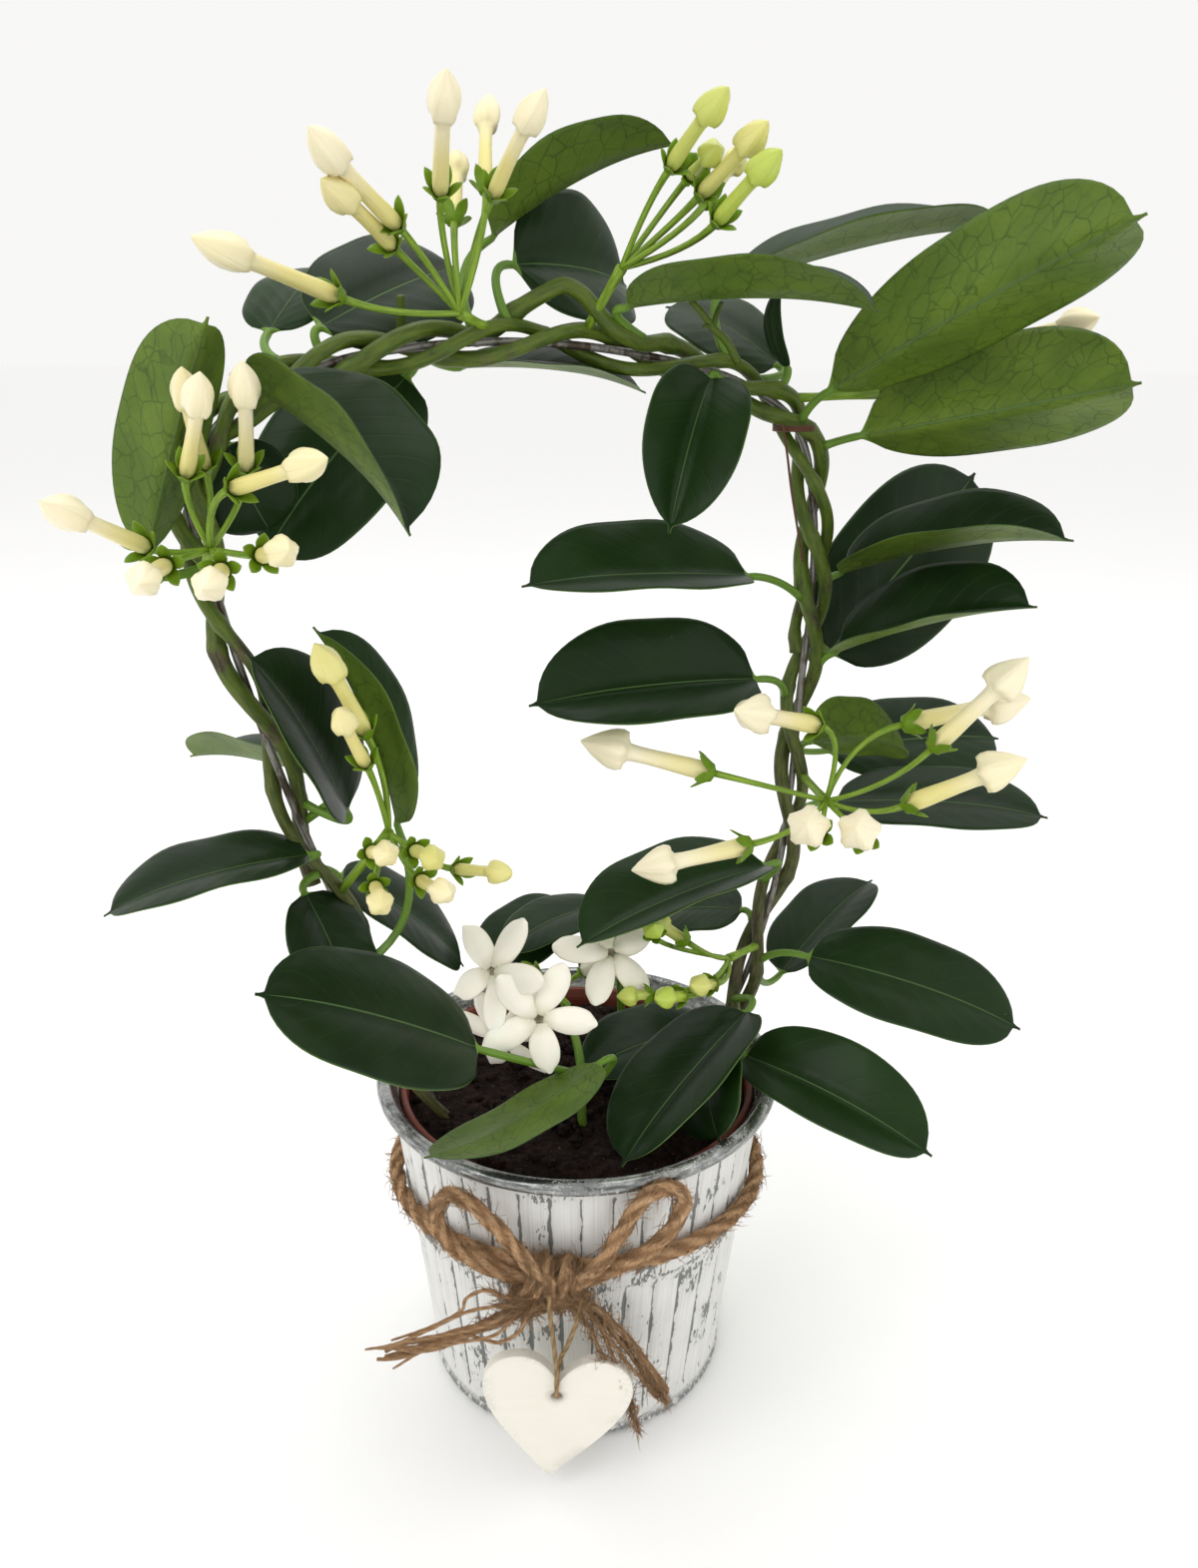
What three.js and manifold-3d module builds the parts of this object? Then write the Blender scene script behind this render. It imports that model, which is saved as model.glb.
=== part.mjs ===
import * as THREE from 'three';
import { mergeVertices } from 'three/addons/utils/BufferGeometryUtils.js';
import Module from 'manifold-3d';

// Potted madagascar jasmine: a twining vine trained round a wire hoop, rooted in a nursery
// pot that stands inside a fluted zinc pot with a twine bow and a hanging wooden heart.
// Millimetres, +Z up. The origin is the middle of the zinc pot's foot, the front faces -Y.

const wasm = await Module();
wasm.setup();
const { Manifold, Mesh } = wasm;

// general
const gap = 0.3;
const roomGap = 0.4;
const trimGap = 0.45;
const bladeThickness = 0.8;
const leastDetail = 0.15;
const degree = Math.PI / 180;

// zinc pot: a tapered side with two fluted bands, a plain belt between and a rolled rim
const potHeight = 115.5;
const footRadius = 52.3;
const shoulderRadius = 64.6;
const shoulderHeight = 111;
const rimRadius = 69.4;
const rimLine = [[-0.8, -4.6], [0, -2.4], [-1.4, 0]];
const rimInside = 4.5;
const potWall = 1.2;
const potFloor = 1.5;
const fluteCount = 42;
const fluteDepth = 0.8;
const lowerBand = [8, 66];
const belt = [67.5, 76.5];
const upperBand = [78, 106];
const beltRise = 0.2;

// nursery pot
const nurseryTop = 110;
const nurseryLipRadius = 61.4;
const nurseryLipDepth = 6;
const nurseryLipWidth = 2.2;
const nurserySideTop = 60.2;
const nurseryFootRadius = 48;
const nurseryWall = 1.2;
const nurserySegments = 26;

// soil
const soilTop = 106;
const soilEdgeDrop = 3;
const soilCrownRise = 0.5;
const soilBump = 1.4;
const soilSegments = 20;
const soilRings = [46, 22];

// wire hoop: [along the hoop's plane, height], left foot to right foot
const hoopTurn = 20;
const wireRadius = 1.2;
const wireSides = 5;
const wireSteps = 44;
const hoopLine = [
  [-46, 84], [-51, 108], [-65, 146], [-79, 188], [-90, 223], [-99, 256], [-105, 284], [-110, 312],
  [-97, 333], [-71, 345], [-42, 350], [-12, 351], [19, 348], [50, 341], [72, 327], [80, 300],
  [81, 270], [79, 240], [78, 210], [75, 178], [67, 145], [54.5, 114], [46, 84],
];

// vines wound along the wire; from and to count the points of the hoop's line
const windPerPoint = 0.44;
const windReach = 4;
const windSwell = 0.4;
const vineSampling = 0.25;
const vines = [
  { name: 'vine_stem_a', radius: 2.2, phase: 219, from: 3.2, to: 22, steps: 53 },
  { name: 'vine_stem_b', radius: 2, phase: 339, from: 6.2, to: 22, steps: 43 },
  { name: 'vine_stem_c', radius: 1.8, phase: 99, from: 0, to: 16.6, steps: 44 },
];
const vineSides = 5;
const archFrom = 10.5;
const archTo = 11.85;
const archPoints = [
  [-23, -3, 355], [-17, -2, 359.5], [-10, -3, 363.5], [-4, -3, 366], [1, -3, 364], [5, -3, 360],
  [10, -2, 355],
];

// young shoots that stand by themselves in the soil, one body with their leaves
const shootRadius = 1.5;
const shootSteps = 7;

// leaf blades: stations along and across, stalks
const alongStations = [0.02, 0.14, 0.38, 0.66, 0.88, 1];
const alongStationsShort = [0.02, 0.18, 0.5, 0.82, 1];
const shortLeaf = 50;
const outlinePeak = 0.965;
const outlinePower = 2.5;
const beakWidth = 0.16;
const beakLength = 0.1;
const beakFrom = 0.88;
const hookFrom = 0.6;
const leastHalfWidth = 0.6;
const stalkRadius = 1.1;
const longStalk = 34;
const usualArch = 2.5;
const usualHook = 1.5;
const usualSway = 1.2;

// leaves: name, point of the hoop's line where the stalk starts, foot of the blade,
// heading, rise, length, width, lean, fold, then any arch, hook or sway
const leafRows = [
  ['leaf_01', 8.9, [-70, -18, 354], 56, 18, 63, 38, 43, 0],
  ['leaf_02', 8.4, [-85, -12, 353], 75, 28, 42, 28, 3, 0],
  ['leaf_03', 8.4, [-81, -52, 340], -27, -34, 58, 50, -7, 42],
  ['leaf_04', 9.8, [-48, -4, 342], -163, -48, 66, 42, -59, 5],
  ['leaf_05', 6.1, [-108, -60, 299], -26, 64, 63, 42, -38, 58],
  ['leaf_06', 3.7, [-67, -36, 221], -140, 64, 57, 40, -49, 18],
  ['leaf_07', 2.2, [-51, -44, 220], -161, 73, 62, 36, -12, 40],
  ['leaf_08', 3.5, [-72, -26, 226], 146, -2, 67, 32, 15, 31],
  ['leaf_09', 3.3, [-77, -40, 208.7], -158, -8, 59, 38, -2, 12],
  ['leaf_10', 3.45, [-81, -38, 196], -37, -62, 42, 34, -11, 3],
  ['leaf_11', 3.4, [-76, -14, 191], 17, -43, 55, 34, 15, 5],
  ['leaf_12', 20.95, [50, 17.2, 118.2], -152, -3, 55, 36, -6, 9],
  ['leaf_13', 20.3, [58.6, -2, 136], -131, -20, 72, 40, 11, 20],
  ['leaf_14', 20.5, [46, -12, 127.5], -92, -25, 34, 30, 50, 0],
  ['leaf_15', 20.7, [57, -7, 121.8], -34, -10, 69, 38, 24, 30, { arch: 6 }],
  ['leaf_16', 20.2, [79, 8, 152], -18, -11, 74, 40, 24, 6],
  ['leaf_17', 20.0, [75, 34, 131], 37, 30, 54, 36, -8, 15],
  ['leaf_18', 19.4, [64, 8, 186], -149, -8, 75, 42, -5, 28],
  ['leaf_19', 19.9, [59.6, 32.6, 157.8], 162, -11, 32, 30, -15, 5],
  ['leaf_20', 13.1, [39, 8, 342], -112, -50, 53, 38, -25, 42],
  ['leaf_21', 16.1, [54, 16, 282], -157, 2, 76, 40, -26, 25],
  ['leaf_22', 17.0, [58, 14, 249], -160, -1, 77, 44, -41, 29],
  ['leaf_23', 16.4, [85, 42, 251], 28, 44, 85, 50, 62, 5],
  ['leaf_24', 15.9, [84.6, 28.5, 280.7], -30, 14, 73, 42, 15, 39],
  ['leaf_25', 17.0, [84, 22, 256], -36, 21, 67, 44, 22, 33],
  ['leaf_26', 17.6, [91.6, 60, 210], 16, 0, 73, 38, 37, 5],
  ['leaf_27', 18.2, [91, 40, 197], -14, 2, 73, 36, 18, 10],
  ['leaf_28', 17.5, [79.6, 28, 223.6], -35, 7, 35, 34, -52, 16],
  ['leaf_29', 12.2, [13, -8, 360], -22, 0, 71, 36, 0, 35],
  ['leaf_30', 12.8, [45, 18, 367], 7, 13, 84, 38, 6, 31],
  ['leaf_31', 14.0, [74, 10, 338], -52, 24, 102, 50, -58, 49],
  ['leaf_32', 14.5, [86, 18, 325], -40, 12, 83, 50, -72, 47],
  ['leaf_33', 10.2, [-25, 11, 379], -4, 26, 58, 40, 6, 42],
  ['leaf_34', 10.5, [-19, 9, 372], 42, -4, 46, 45, 61, 16],
  ['leaf_35', 9.7, [-34.5, 3, 344], 11, -5.5, 56, 28, 12, 20],
  ['leaf_36', 13.1, [62, 34, 345], 161, 27, 41, 34, -28, 0],
  ['leaf_37', 13.3, [63.2, 20.6, 344.6], -158, 76, 23, 7, -160, 0],
  ['leaf_38', 7.4, [-94.9, -27, 324.5], 38, -67, 27, 27, 105, 0],
];
const shoots = [
  {
    name: 'young_shoot_front',
    line: [[2, -24, 84], [2, -24, 110], [1, -21, 130], [-4, -13, 145]],
    leaves: [
      [0.55, [-28, -58, 155], -151, 30, 71, 44, -28, 2],
      [0.4, [8, -38, 138], -140, -6, 65, 28, -166, 0],
    ],
  },
  {
    name: 'young_shoot_back',
    line: [[16, 46, 84], [16, 46, 112], [14, 44, 138], [10, 42, 156]],
    leaves: [
      [0.97, [-5, 42, 156], -142, -21, 42, 32, -12, 0],
      [0.85, [10, 34, 159], -146, -8, 44, 28, -3, 5],
    ],
  },
];

// closed buds with their calyx: [share of the length, radius at a length of 40]
const budLength = 40;
const budSides = 5;
const budProfile = [[0.05, 5.2], [0.12, 3.6], [0.6, 2.9], [0.71, 5.9], [0.86, 4.8]];
const budPlump = 0.6;
const pedicelRadius = 1;
const peduncleRadius = 1.3;
const peduncleSides = 5;

// umbels: name, point of the hoop's line, hub, how plump the buds are, then the buds: foot,
// heading, rise, length
const umbels = [
  {
    name: 'umbel_a', at: 10.7, hub: [-31, -22, 358], plump: 0.64, buds: [
      [[-60, -34, 361], -129, 15, 44], [[-45, -30, 378], -111, 24, 42],
      [[-48, -22, 374], -107, 18, 38], [[-35, -24, 386], -79, 34, 40],
      [[-33, -12, 381], 94, 38, 34], [[-24, -14, 388], 91, 52, 34],
      [[-22, -20, 386], -59, 35, 36],
    ],
  },
  {
    name: 'umbel_b', at: 11.35, hub: [12, -12, 370], plump: 0.72, buds: [
      [[24, -22, 393], -66, 25, 32], [[30, -8, 393], -79, 8, 26], [[32, -20, 387], -62, 24, 32],
      [[36, -26, 380], -65, 24, 32], [[34, -10, 386], 58, 35, 28],
    ],
  },
  {
    name: 'umbel_c', at: 5.9, hub: [-91, -62, 301], plump: 0.62, buds: [
      [[-102, -74, 303], -103, 22, 40], [[-94, -66, 319], -60, 43, 36],
      [[-92, -56, 320], -80, 46, 34], [[-81, -60, 320], -71, 46, 36],
      [[-81, -74, 317], -39, 14, 38], [[-96, -80, 300], -79, 3, 38],
      [[-83, -80, 299], -79, 3, 38], [[-74, -78, 302], -65, 10, 36],
    ],
  },
  {
    name: 'umbel_d', at: 2.9, hub: [-52, -52, 221], plump: 0.72, buds: [
      [[-55, -60, 252], -116, 57, 34], [[-55, -62, 244], -101, 52, 26],
      [[-55, -64, 220], -67, 20, 26], [[-44, -60, 219], -67, 15, 26],
      [[-42, -64, 212], -63, 13, 26], [[-34, -52, 210], -41, 13, 24],
      [[-54, -66, 211], -76, 11, 26],
    ],
  },
  {
    name: 'umbel_e', at: 18.1, hub: [80, -2, 213], plump: 0.95, buds: [
      [[42, -16, 227], 177, 13, 42], [[75, -8, 240], -143, 17, 38], [[104, 4, 237], 5, 11, 42],
      [[111, -6, 232], -5, 49, 40], [[102, -14, 216], -26, 31, 40], [[54, -22, 206], -171, -10, 38],
      [[73, -28, 212], -106, 25, 38], [[87, -28, 211], -107, 25, 38],
    ],
  },
  {
    name: 'umbel_f', at: 20.05, hub: [52, 6, 152], plump: 1.3, buds: [
      [[25, -14, 171], -93, 39, 14], [[37, -4, 163], 162, 29, 17], [[25, -25, 155], -179, -3, 12],
      [[35, -24, 154], -139, 17, 14], [[45, -16, 154], -130, 21, 14],
    ],
  },
  {
    name: 'umbel_g', at: 13.5, hub: [93, 30, 337], plump: 0.75, buds: [
      [[129, 30, 352], -58, 11, 36], [[110, 33, 355], -70, 12, 22], [[118, 29, 356], -60, 14, 22],
    ],
  },
];

// open flowers on the front shoot: middle of the face, heading, rise and spin of the face
const openHub = [-8, -12, 149];
const openFlowers = [
  [[-25, -38, 170], -130, 26, -35], [[-10.8, -46, 158.4], -80, 10, 0],
  [[-24.6, -28, 141], -120, -20, 0], [[11, -18, 166], -60, 40, -28],
];
const flowerTube = 22;
const flowerTubeProfile = [[0.1, 2.6], [0.7, 1.9], [0.98, 2.6]];
const petalCount = 5;
const petalCorners = [[36, 3.4, 0.5], [52, 10.8, 1.4], [72, 17.4, 0], [92, 10.8, 1.4]];

// twine round the pot, bow and knot
const twineRadius = 2.7;
const twineSides = 5;
const twineSteps = 26;
const twineFront = 82;
const twineSide = 77;
const bowRadius = 2.5;
const bowSteps = 11;
const leftLoop = [
  [-6, -72.8, 81.5], [-14, -71, 89.5], [-22, -68.5, 98.5], [-31, -66.5, 107], [-38, -64, 108],
  [-42, -63, 100.5], [-37, -65.5, 90.5], [-24, -68, 83.5], [-8, -67.8, 79],
];
const rightLoop = [
  [0, -72.8, 81.5], [8, -71, 88], [14.5, -69, 98.5], [20.5, -68, 109], [28, -66.5, 113],
  [33.5, -64.5, 107.5], [30, -66, 98], [20, -67.5, 88.5], [4, -67.8, 79.5],
];
const knotMiddle = [-3.5, -68.7, 79.5];
const knotTurns = [[-4, 0.25], [3, -0.3]];
const knotReach = [4.6, 8.2];
const knotRadius = 3;
const knotSteps = 8;

// loose ends of the twine and the heart's string: free cords
const tailRadius = 2.2;
const cordSides = 8;
const tailSteps = 12;
const leftTail = [[-13, -74, 76.5], [-25, -76, 70.5], [-42, -74.5, 61.5], [-60, -70, 52.5]];
const rightTail = [
  [6, -72, 72.5], [11, -69, 64.5], [19, -66, 50.5], [25, -64, 37.5], [29, -63, 29.5],
];
const stringRadius = 0.8;
const stringSteps = 32;
const stringLine = [
  [-7, -76.8, 82], [-6.6, -77.3, 74.4], [-5.4, -76.4, 60.4], [-4.9, -75.4, 51.4],
  [-4.9, -75.3, 44.4], [-4.9, -74.8, 40.8], [-4.9, -72.2, 39.3], [-4.9, -69.6, 40.8],
  [-4.8, -69.1, 44.4], [-3.6, -69.6, 51.4], [-1.6, -73.2, 59.4], [1.6, -76.6, 73],
  [2.6, -76.2, 80.5],
];

// wooden heart
const heartMiddle = [-4.9, -72.2, 39.6];
const heartThickness = 3.6;
const heartTilt = 5;
const heartHole = 2;
const heartDip = [0, 5.5];
const heartCurves = [
  [3, 12, 8, 15.5, 13, 15], [20, 14.5, 24, 9, 23.5, 2.5], [23, -9, 10, -21, 0, -33],
  [-10, -21, -23, -9, -23.5, 2.5], [-24, 9, -20, 14.5, -13, 15], [-8, 15.5, -3, 12, ...heartDip],
];
const heartCurveSteps = 5;

// colours
const colours = {
  zinc: 0xdcdbd6, nursery: 0x6b2c20, soil: 0x1d120d, wire: 0x2a2926, vine: 0x4c5230,
  leaf: 0x17331a, petal: 0xeeecdc, twine: 0xa67c4e, string: 0xbf9a68, heart: 0xefece6,
};

const part = new THREE.Group();
part.name = 'potted_madagascar_jasmine';

// solids

function vector(point) {
  return new THREE.Vector3(point[0], point[1], point[2]);
}

function direction(heading, rise) {
  const level = Math.cos(rise * degree);
  return new THREE.Vector3(
    level * Math.cos(heading * degree), level * Math.sin(heading * degree), Math.sin(rise * degree),
  );
}

// closes up a geometry, drops faces without area and turns it so that its faces look outward
function solidOf(geometry) {
  const bare = geometry.clone();
  bare.deleteAttribute('normal');
  bare.deleteAttribute('uv');
  const welded = mergeVertices(bare, 1e-4);
  const place = welded.attributes.position;
  const index = welded.index.array;
  const faces = [];
  let volume = 0;
  for (let i = 0; i < index.length; i += 3) {
    const [a, b, c] = index.slice(i, i + 3);
    if (a !== b && b !== c && c !== a) {
      faces.push(a, b, c);
      const p = new THREE.Vector3().fromBufferAttribute(place, a);
      const q = new THREE.Vector3().fromBufferAttribute(place, b);
      const r = new THREE.Vector3().fromBufferAttribute(place, c);
      volume += p.dot(q.cross(r));
    }
  }
  if (volume < 0) {
    faces.reverse();
  }
  return new Manifold(new Mesh({
    numProp: 3,
    vertProperties: new Float32Array(place.array),
    triVerts: new Uint32Array(faces),
  }));
}

function shell(points, faces) {
  const geometry = new THREE.BufferGeometry();
  geometry.setAttribute('position', new THREE.Float32BufferAttribute(points.flat(), 3));
  geometry.setIndex(faces.flat());
  return solidOf(geometry);
}

function joined(solids) {
  return solids.reduce((whole, solid) => whole.add(solid)).simplify(leastDetail);
}

// the largest of the bodies that a cut leaves
function largest(solid) {
  const bodies = solid.decompose();
  return bodies.reduce((best, body) => (body.volume() > best.volume() ? body : best));
}

function addNode(name, solid, colour) {
  const mesh = solid.getMesh();
  const geometry = new THREE.BufferGeometry();
  geometry.setAttribute('position', new THREE.Float32BufferAttribute(mesh.vertProperties, 3));
  geometry.setIndex(new THREE.Uint32BufferAttribute(mesh.triVerts, 1));
  geometry.computeVertexNormals();
  const material = new THREE.MeshStandardMaterial({ color: colour, roughness: 0.7 });
  const node = new THREE.Mesh(geometry, material);
  node.name = name;
  part.add(node);
}

// round bar along a smooth line through points
function tube(points, radius, sides, steps) {
  const path = new THREE.CatmullRomCurve3(points, false, 'catmullrom', 0.5);
  const section = new THREE.Shape();
  for (let i = 0; i < sides; i += 1) {
    const angle = (2 * Math.PI * i) / sides;
    const corner = [radius * Math.cos(angle), radius * Math.sin(angle)];
    if (i === 0) {
      section.moveTo(...corner);
    } else {
      section.lineTo(...corner);
    }
  }
  section.closePath();
  const options = { steps, bevelEnabled: false, curveSegments: 1, extrudePath: path };
  return solidOf(new THREE.ExtrudeGeometry(section, options));
}

// bar bent into a closed ring; up is never along the ring
function ringTube(pointAt, up, radius, sides, steps) {
  const points = [];
  const faces = [];
  for (let i = 0; i < steps; i += 1) {
    const here = pointAt((2 * Math.PI * i) / steps);
    const ahead = pointAt((2 * Math.PI * (i + 0.5)) / steps);
    const behind = pointAt((2 * Math.PI * (i - 0.5)) / steps);
    const along = ahead.sub(behind).normalize();
    const sideways = new THREE.Vector3().crossVectors(along, up).normalize();
    const raised = new THREE.Vector3().crossVectors(sideways, along);
    for (let j = 0; j < sides; j += 1) {
      const angle = (2 * Math.PI * j) / sides;
      const corner = here.clone();
      corner.addScaledVector(sideways, radius * Math.cos(angle));
      corner.addScaledVector(raised, radius * Math.sin(angle));
      points.push(corner.toArray());
      const a = i * sides + j;
      const b = i * sides + ((j + 1) % sides);
      const c = ((i + 1) % steps) * sides + j;
      const d = ((i + 1) % steps) * sides + ((j + 1) % sides);
      faces.push([a, b, d], [a, d, c]);
    }
  }
  return shell(points, faces);
}

// turned body: profile of [radius, height] from axis to axis
function turned(profile, segments) {
  const points = profile.map(([radius, height]) => new THREE.Vector2(radius, height));
  return solidOf(new THREE.LatheGeometry(points, segments).rotateX(Math.PI / 2));
}

// moves a body made along +Z so that it starts at a point and looks along an axis
function placed(solid, start, axis) {
  const turn = new THREE.Quaternion().setFromUnitVectors(new THREE.Vector3(0, 0, 1), axis);
  const size = new THREE.Vector3(1, 1, 1);
  return solid.transform(new THREE.Matrix4().compose(start, turn, size).elements);
}

// zinc pot

function sideRadius(height) {
  return footRadius + ((shoulderRadius - footRadius) * height) / shoulderHeight;
}

function zincPot() {
  const innerTop = sideRadius(shoulderHeight) - potWall - fluteDepth;
  const innerFoot = sideRadius(potFloor) - potWall - fluteDepth;
  const rings = [
    [footRadius - potWall, 0, 0],
    [sideRadius(lowerBand[0]), lowerBand[0], fluteDepth],
    [sideRadius(lowerBand[1]), lowerBand[1], fluteDepth],
    [sideRadius(belt[0]) + beltRise, belt[0], 0],
    [sideRadius(belt[1]) + beltRise, belt[1], 0],
    [sideRadius(upperBand[0]), upperBand[0], fluteDepth],
    [sideRadius(upperBand[1]), upperBand[1], fluteDepth],
    ...rimLine.map(([out, up]) => [rimRadius + out, potHeight + up, 0]),
    [innerTop, potHeight - rimInside, 0],
    [innerFoot, potFloor, 0],
  ];
  const segments = 2 * fluteCount;
  const points = [];
  const faces = [];
  rings.forEach(([radius, height, depth], ring) => {
    for (let i = 0; i < segments; i += 1) {
      const angle = (2 * Math.PI * i) / segments;
      const reach = radius - depth * (i % 2);
      points.push([reach * Math.cos(angle), reach * Math.sin(angle), height]);
      if (ring > 0) {
        const next = (i + 1) % segments;
        const below = (ring - 1) * segments;
        const above = ring * segments;
        faces.push([below + i, below + next, above + next], [below + i, above + next, above + i]);
      }
    }
  });
  const under = points.length;
  const inside = under + 1;
  points.push([0, 0, 0], [0, 0, potFloor]);
  const last = (rings.length - 1) * segments;
  for (let i = 0; i < segments; i += 1) {
    const next = (i + 1) % segments;
    faces.push([under, next, i], [inside, last + i, last + next]);
  }
  return shell(points, faces);
}

// the space that the pot fills, wider by the gap, for trimming the twine
function potSpace() {
  const top = potHeight + gap;
  const rimFoot = potHeight + rimLine[0][1] - 2 * gap;
  const profile = [
    [0, -1], [sideRadius(-1) + trimGap, -1], [sideRadius(rimFoot) + trimGap, rimFoot],
    [rimRadius + gap, rimFoot + gap], [rimRadius + gap, top], [0, top],
  ];
  return turned(profile, 2 * fluteCount);
}

function nurseryPot() {
  const bottom = potFloor + gap;
  const lipFoot = nurseryTop - nurseryLipDepth;
  const profile = [
    [0, bottom],
    [nurseryFootRadius, bottom],
    [nurserySideTop, lipFoot - gap],
    [nurseryLipRadius, lipFoot],
    [nurseryLipRadius, nurseryTop],
    [nurseryLipRadius - nurseryLipWidth, nurseryTop],
    [nurserySideTop - nurseryWall, lipFoot],
    [nurseryFootRadius - nurseryWall, bottom + nurseryWall],
    [0, bottom + nurseryWall],
  ];
  return turned(profile, nurserySegments);
}

// soil with a gently uneven top; the openings leave room for what stands in it
function soilBody(openings) {
  const bottom = potFloor + gap + nurseryWall + gap;
  const outer = nurserySideTop - nurseryWall - 2 * gap;
  const rings = [
    [nurseryFootRadius - nurseryWall - 2 * gap, bottom, 0],
    [outer, soilTop - soilEdgeDrop, 0],
    ...soilRings.map((radius) => [radius, soilTop, soilBump]),
  ];
  const points = [[0, 0, bottom]];
  const faces = [];
  rings.forEach(([radius, height, bump], ring) => {
    for (let i = 0; i < soilSegments; i += 1) {
      const angle = (2 * Math.PI * i) / soilSegments;
      const wave = bump * Math.sin(3 * angle + radius) * Math.cos(5 * angle - 2 * radius);
      points.push([radius * Math.cos(angle), radius * Math.sin(angle), height + wave]);
      const here = 1 + ring * soilSegments;
      const next = (i + 1) % soilSegments;
      if (ring === 0) {
        faces.push([0, here + next, here + i]);
      } else {
        const below = here - soilSegments;
        faces.push([below + i, below + next, here + next], [below + i, here + next, here + i]);
      }
    }
  });
  const crown = points.length;
  const last = 1 + (rings.length - 1) * soilSegments;
  points.push([0, 0, soilTop + soilCrownRise]);
  for (let i = 0; i < soilSegments; i += 1) {
    faces.push([crown, last + i, last + ((i + 1) % soilSegments)]);
  }
  return shell(points, faces).subtract(openings);
}

// hoop and vines

const planeAlong = direction(hoopTurn, 0);
const planeNormal = direction(hoopTurn + 90, 0);
const hoopCurve = new THREE.CatmullRomCurve3(
  hoopLine.map(([along, height]) => planeAlong.clone().multiplyScalar(along).setZ(height)),
  false, 'catmullrom', 0.5,
);
const lastPoint = hoopLine.length - 1;

function hoopPoint(at) {
  return hoopCurve.getPoint(at / lastPoint);
}

function vinePoint(vine, at) {
  const middle = hoopPoint(at);
  const tangent = hoopCurve.getTangent(at / lastPoint);
  const outward = new THREE.Vector3().crossVectors(tangent, planeNormal);
  const turn = 2 * Math.PI * windPerPoint * at + vine.phase * degree;
  const reach = windReach + windSwell * Math.sin((Math.PI * at) / lastPoint);
  middle.addScaledVector(outward, reach * Math.cos(turn));
  return middle.addScaledVector(planeNormal, reach * Math.sin(turn));
}

function vineLine(vine) {
  const line = [];
  let arched = false;
  for (let at = vine.from; at <= vine.to + 1e-6; at += vineSampling) {
    const inArch = vine.name === 'vine_stem_a' && at > archFrom && at < archTo;
    if (!inArch) {
      line.push(vinePoint(vine, at));
    } else if (!arched) {
      line.push(...archPoints.map(vector));
      arched = true;
    }
  }
  return line;
}

// a line made a little longer past both of its ends
function lengthened(line, extra) {
  const first = line[0].clone().sub(line[1]).setLength(extra).add(line[0]);
  const end = line[line.length - 1];
  const last = end.clone().sub(line[line.length - 2]).setLength(extra).add(end);
  return [first, ...line, last];
}

const wireLine = hoopLine.map((_, at) => hoopPoint(at));
const wireHoop = tube(wireLine, wireRadius, wireSides, wireSteps);
const vineSolids = vines.map((vine) => tube(vineLine(vine), vine.radius, vineSides, vine.steps));

// the same bars wider by the gap: what the leaves and the soil stay clear of
const wireRoom = tube(lengthened(wireLine, 2), wireRadius + roomGap, wireSides, wireSteps);
const vineRoom = joined(vines.map(
  (vine) => tube(lengthened(vineLine(vine), 1), vine.radius + roomGap, vineSides, vine.steps),
));
const shootRooms = shoots.map((shoot) => tube(
  lengthened(shoot.line.map(vector), 1), shootRadius + roomGap, vineSides, shootSteps,
));
const hoopRoom = wireRoom.add(vineRoom);

// the point of a vine's middle line nearest to a place, close to one point of the hoop
function nearestOnVines(at, place) {
  let best = null;
  let least = Infinity;
  vines.forEach((vine) => {
    for (let step = -2; step <= 2; step += 1) {
      const here = at + step * 0.1;
      const inArch = vine.name === 'vine_stem_a' && here > archFrom && here < archTo;
      if (here >= vine.from && here <= vine.to && !inArch) {
        const point = vinePoint(vine, here);
        const distance = point.distanceTo(place);
        if (distance < least) {
          least = distance;
          best = { point, radius: vine.radius };
        }
      }
    }
  });
  return best;
}

// leaves

function bladeFrame(heading, rise, lean) {
  const axis = direction(heading, rise);
  const up = new THREE.Vector3(0, 0, 1).addScaledVector(axis, -axis.z).normalize();
  const side = new THREE.Vector3().crossVectors(axis, up);
  const normal = up.multiplyScalar(Math.cos(lean * degree));
  normal.addScaledVector(side, Math.sin(lean * degree));
  const across = new THREE.Vector3().crossVectors(axis, normal);
  return { axis, normal, across };
}

// half width of a blade at a share of its length, 1 at the widest place
function outline(share) {
  const body = 1 - Math.abs((2 * share) / outlinePeak - 1) ** outlinePower;
  const beak = share > beakFrom ? beakWidth * ((1 - share) / beakLength) : 0;
  return Math.max(Math.sqrt(Math.max(body, 0)), beak);
}

// middle line of a blade, bent by arch, hook and sway
function spinePoint(blade, share) {
  const { base, length, frame, arch = 0, hook = 0, sway = 0 } = blade;
  const swell = 4 * share * (1 - share);
  const dip = (Math.max(0, share - hookFrom) / (1 - hookFrom)) ** 2;
  const point = vector(base).addScaledVector(frame.axis, length * share);
  point.addScaledVector(frame.normal, arch * swell - hook * dip);
  return point.addScaledVector(frame.across, sway * swell);
}

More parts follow.
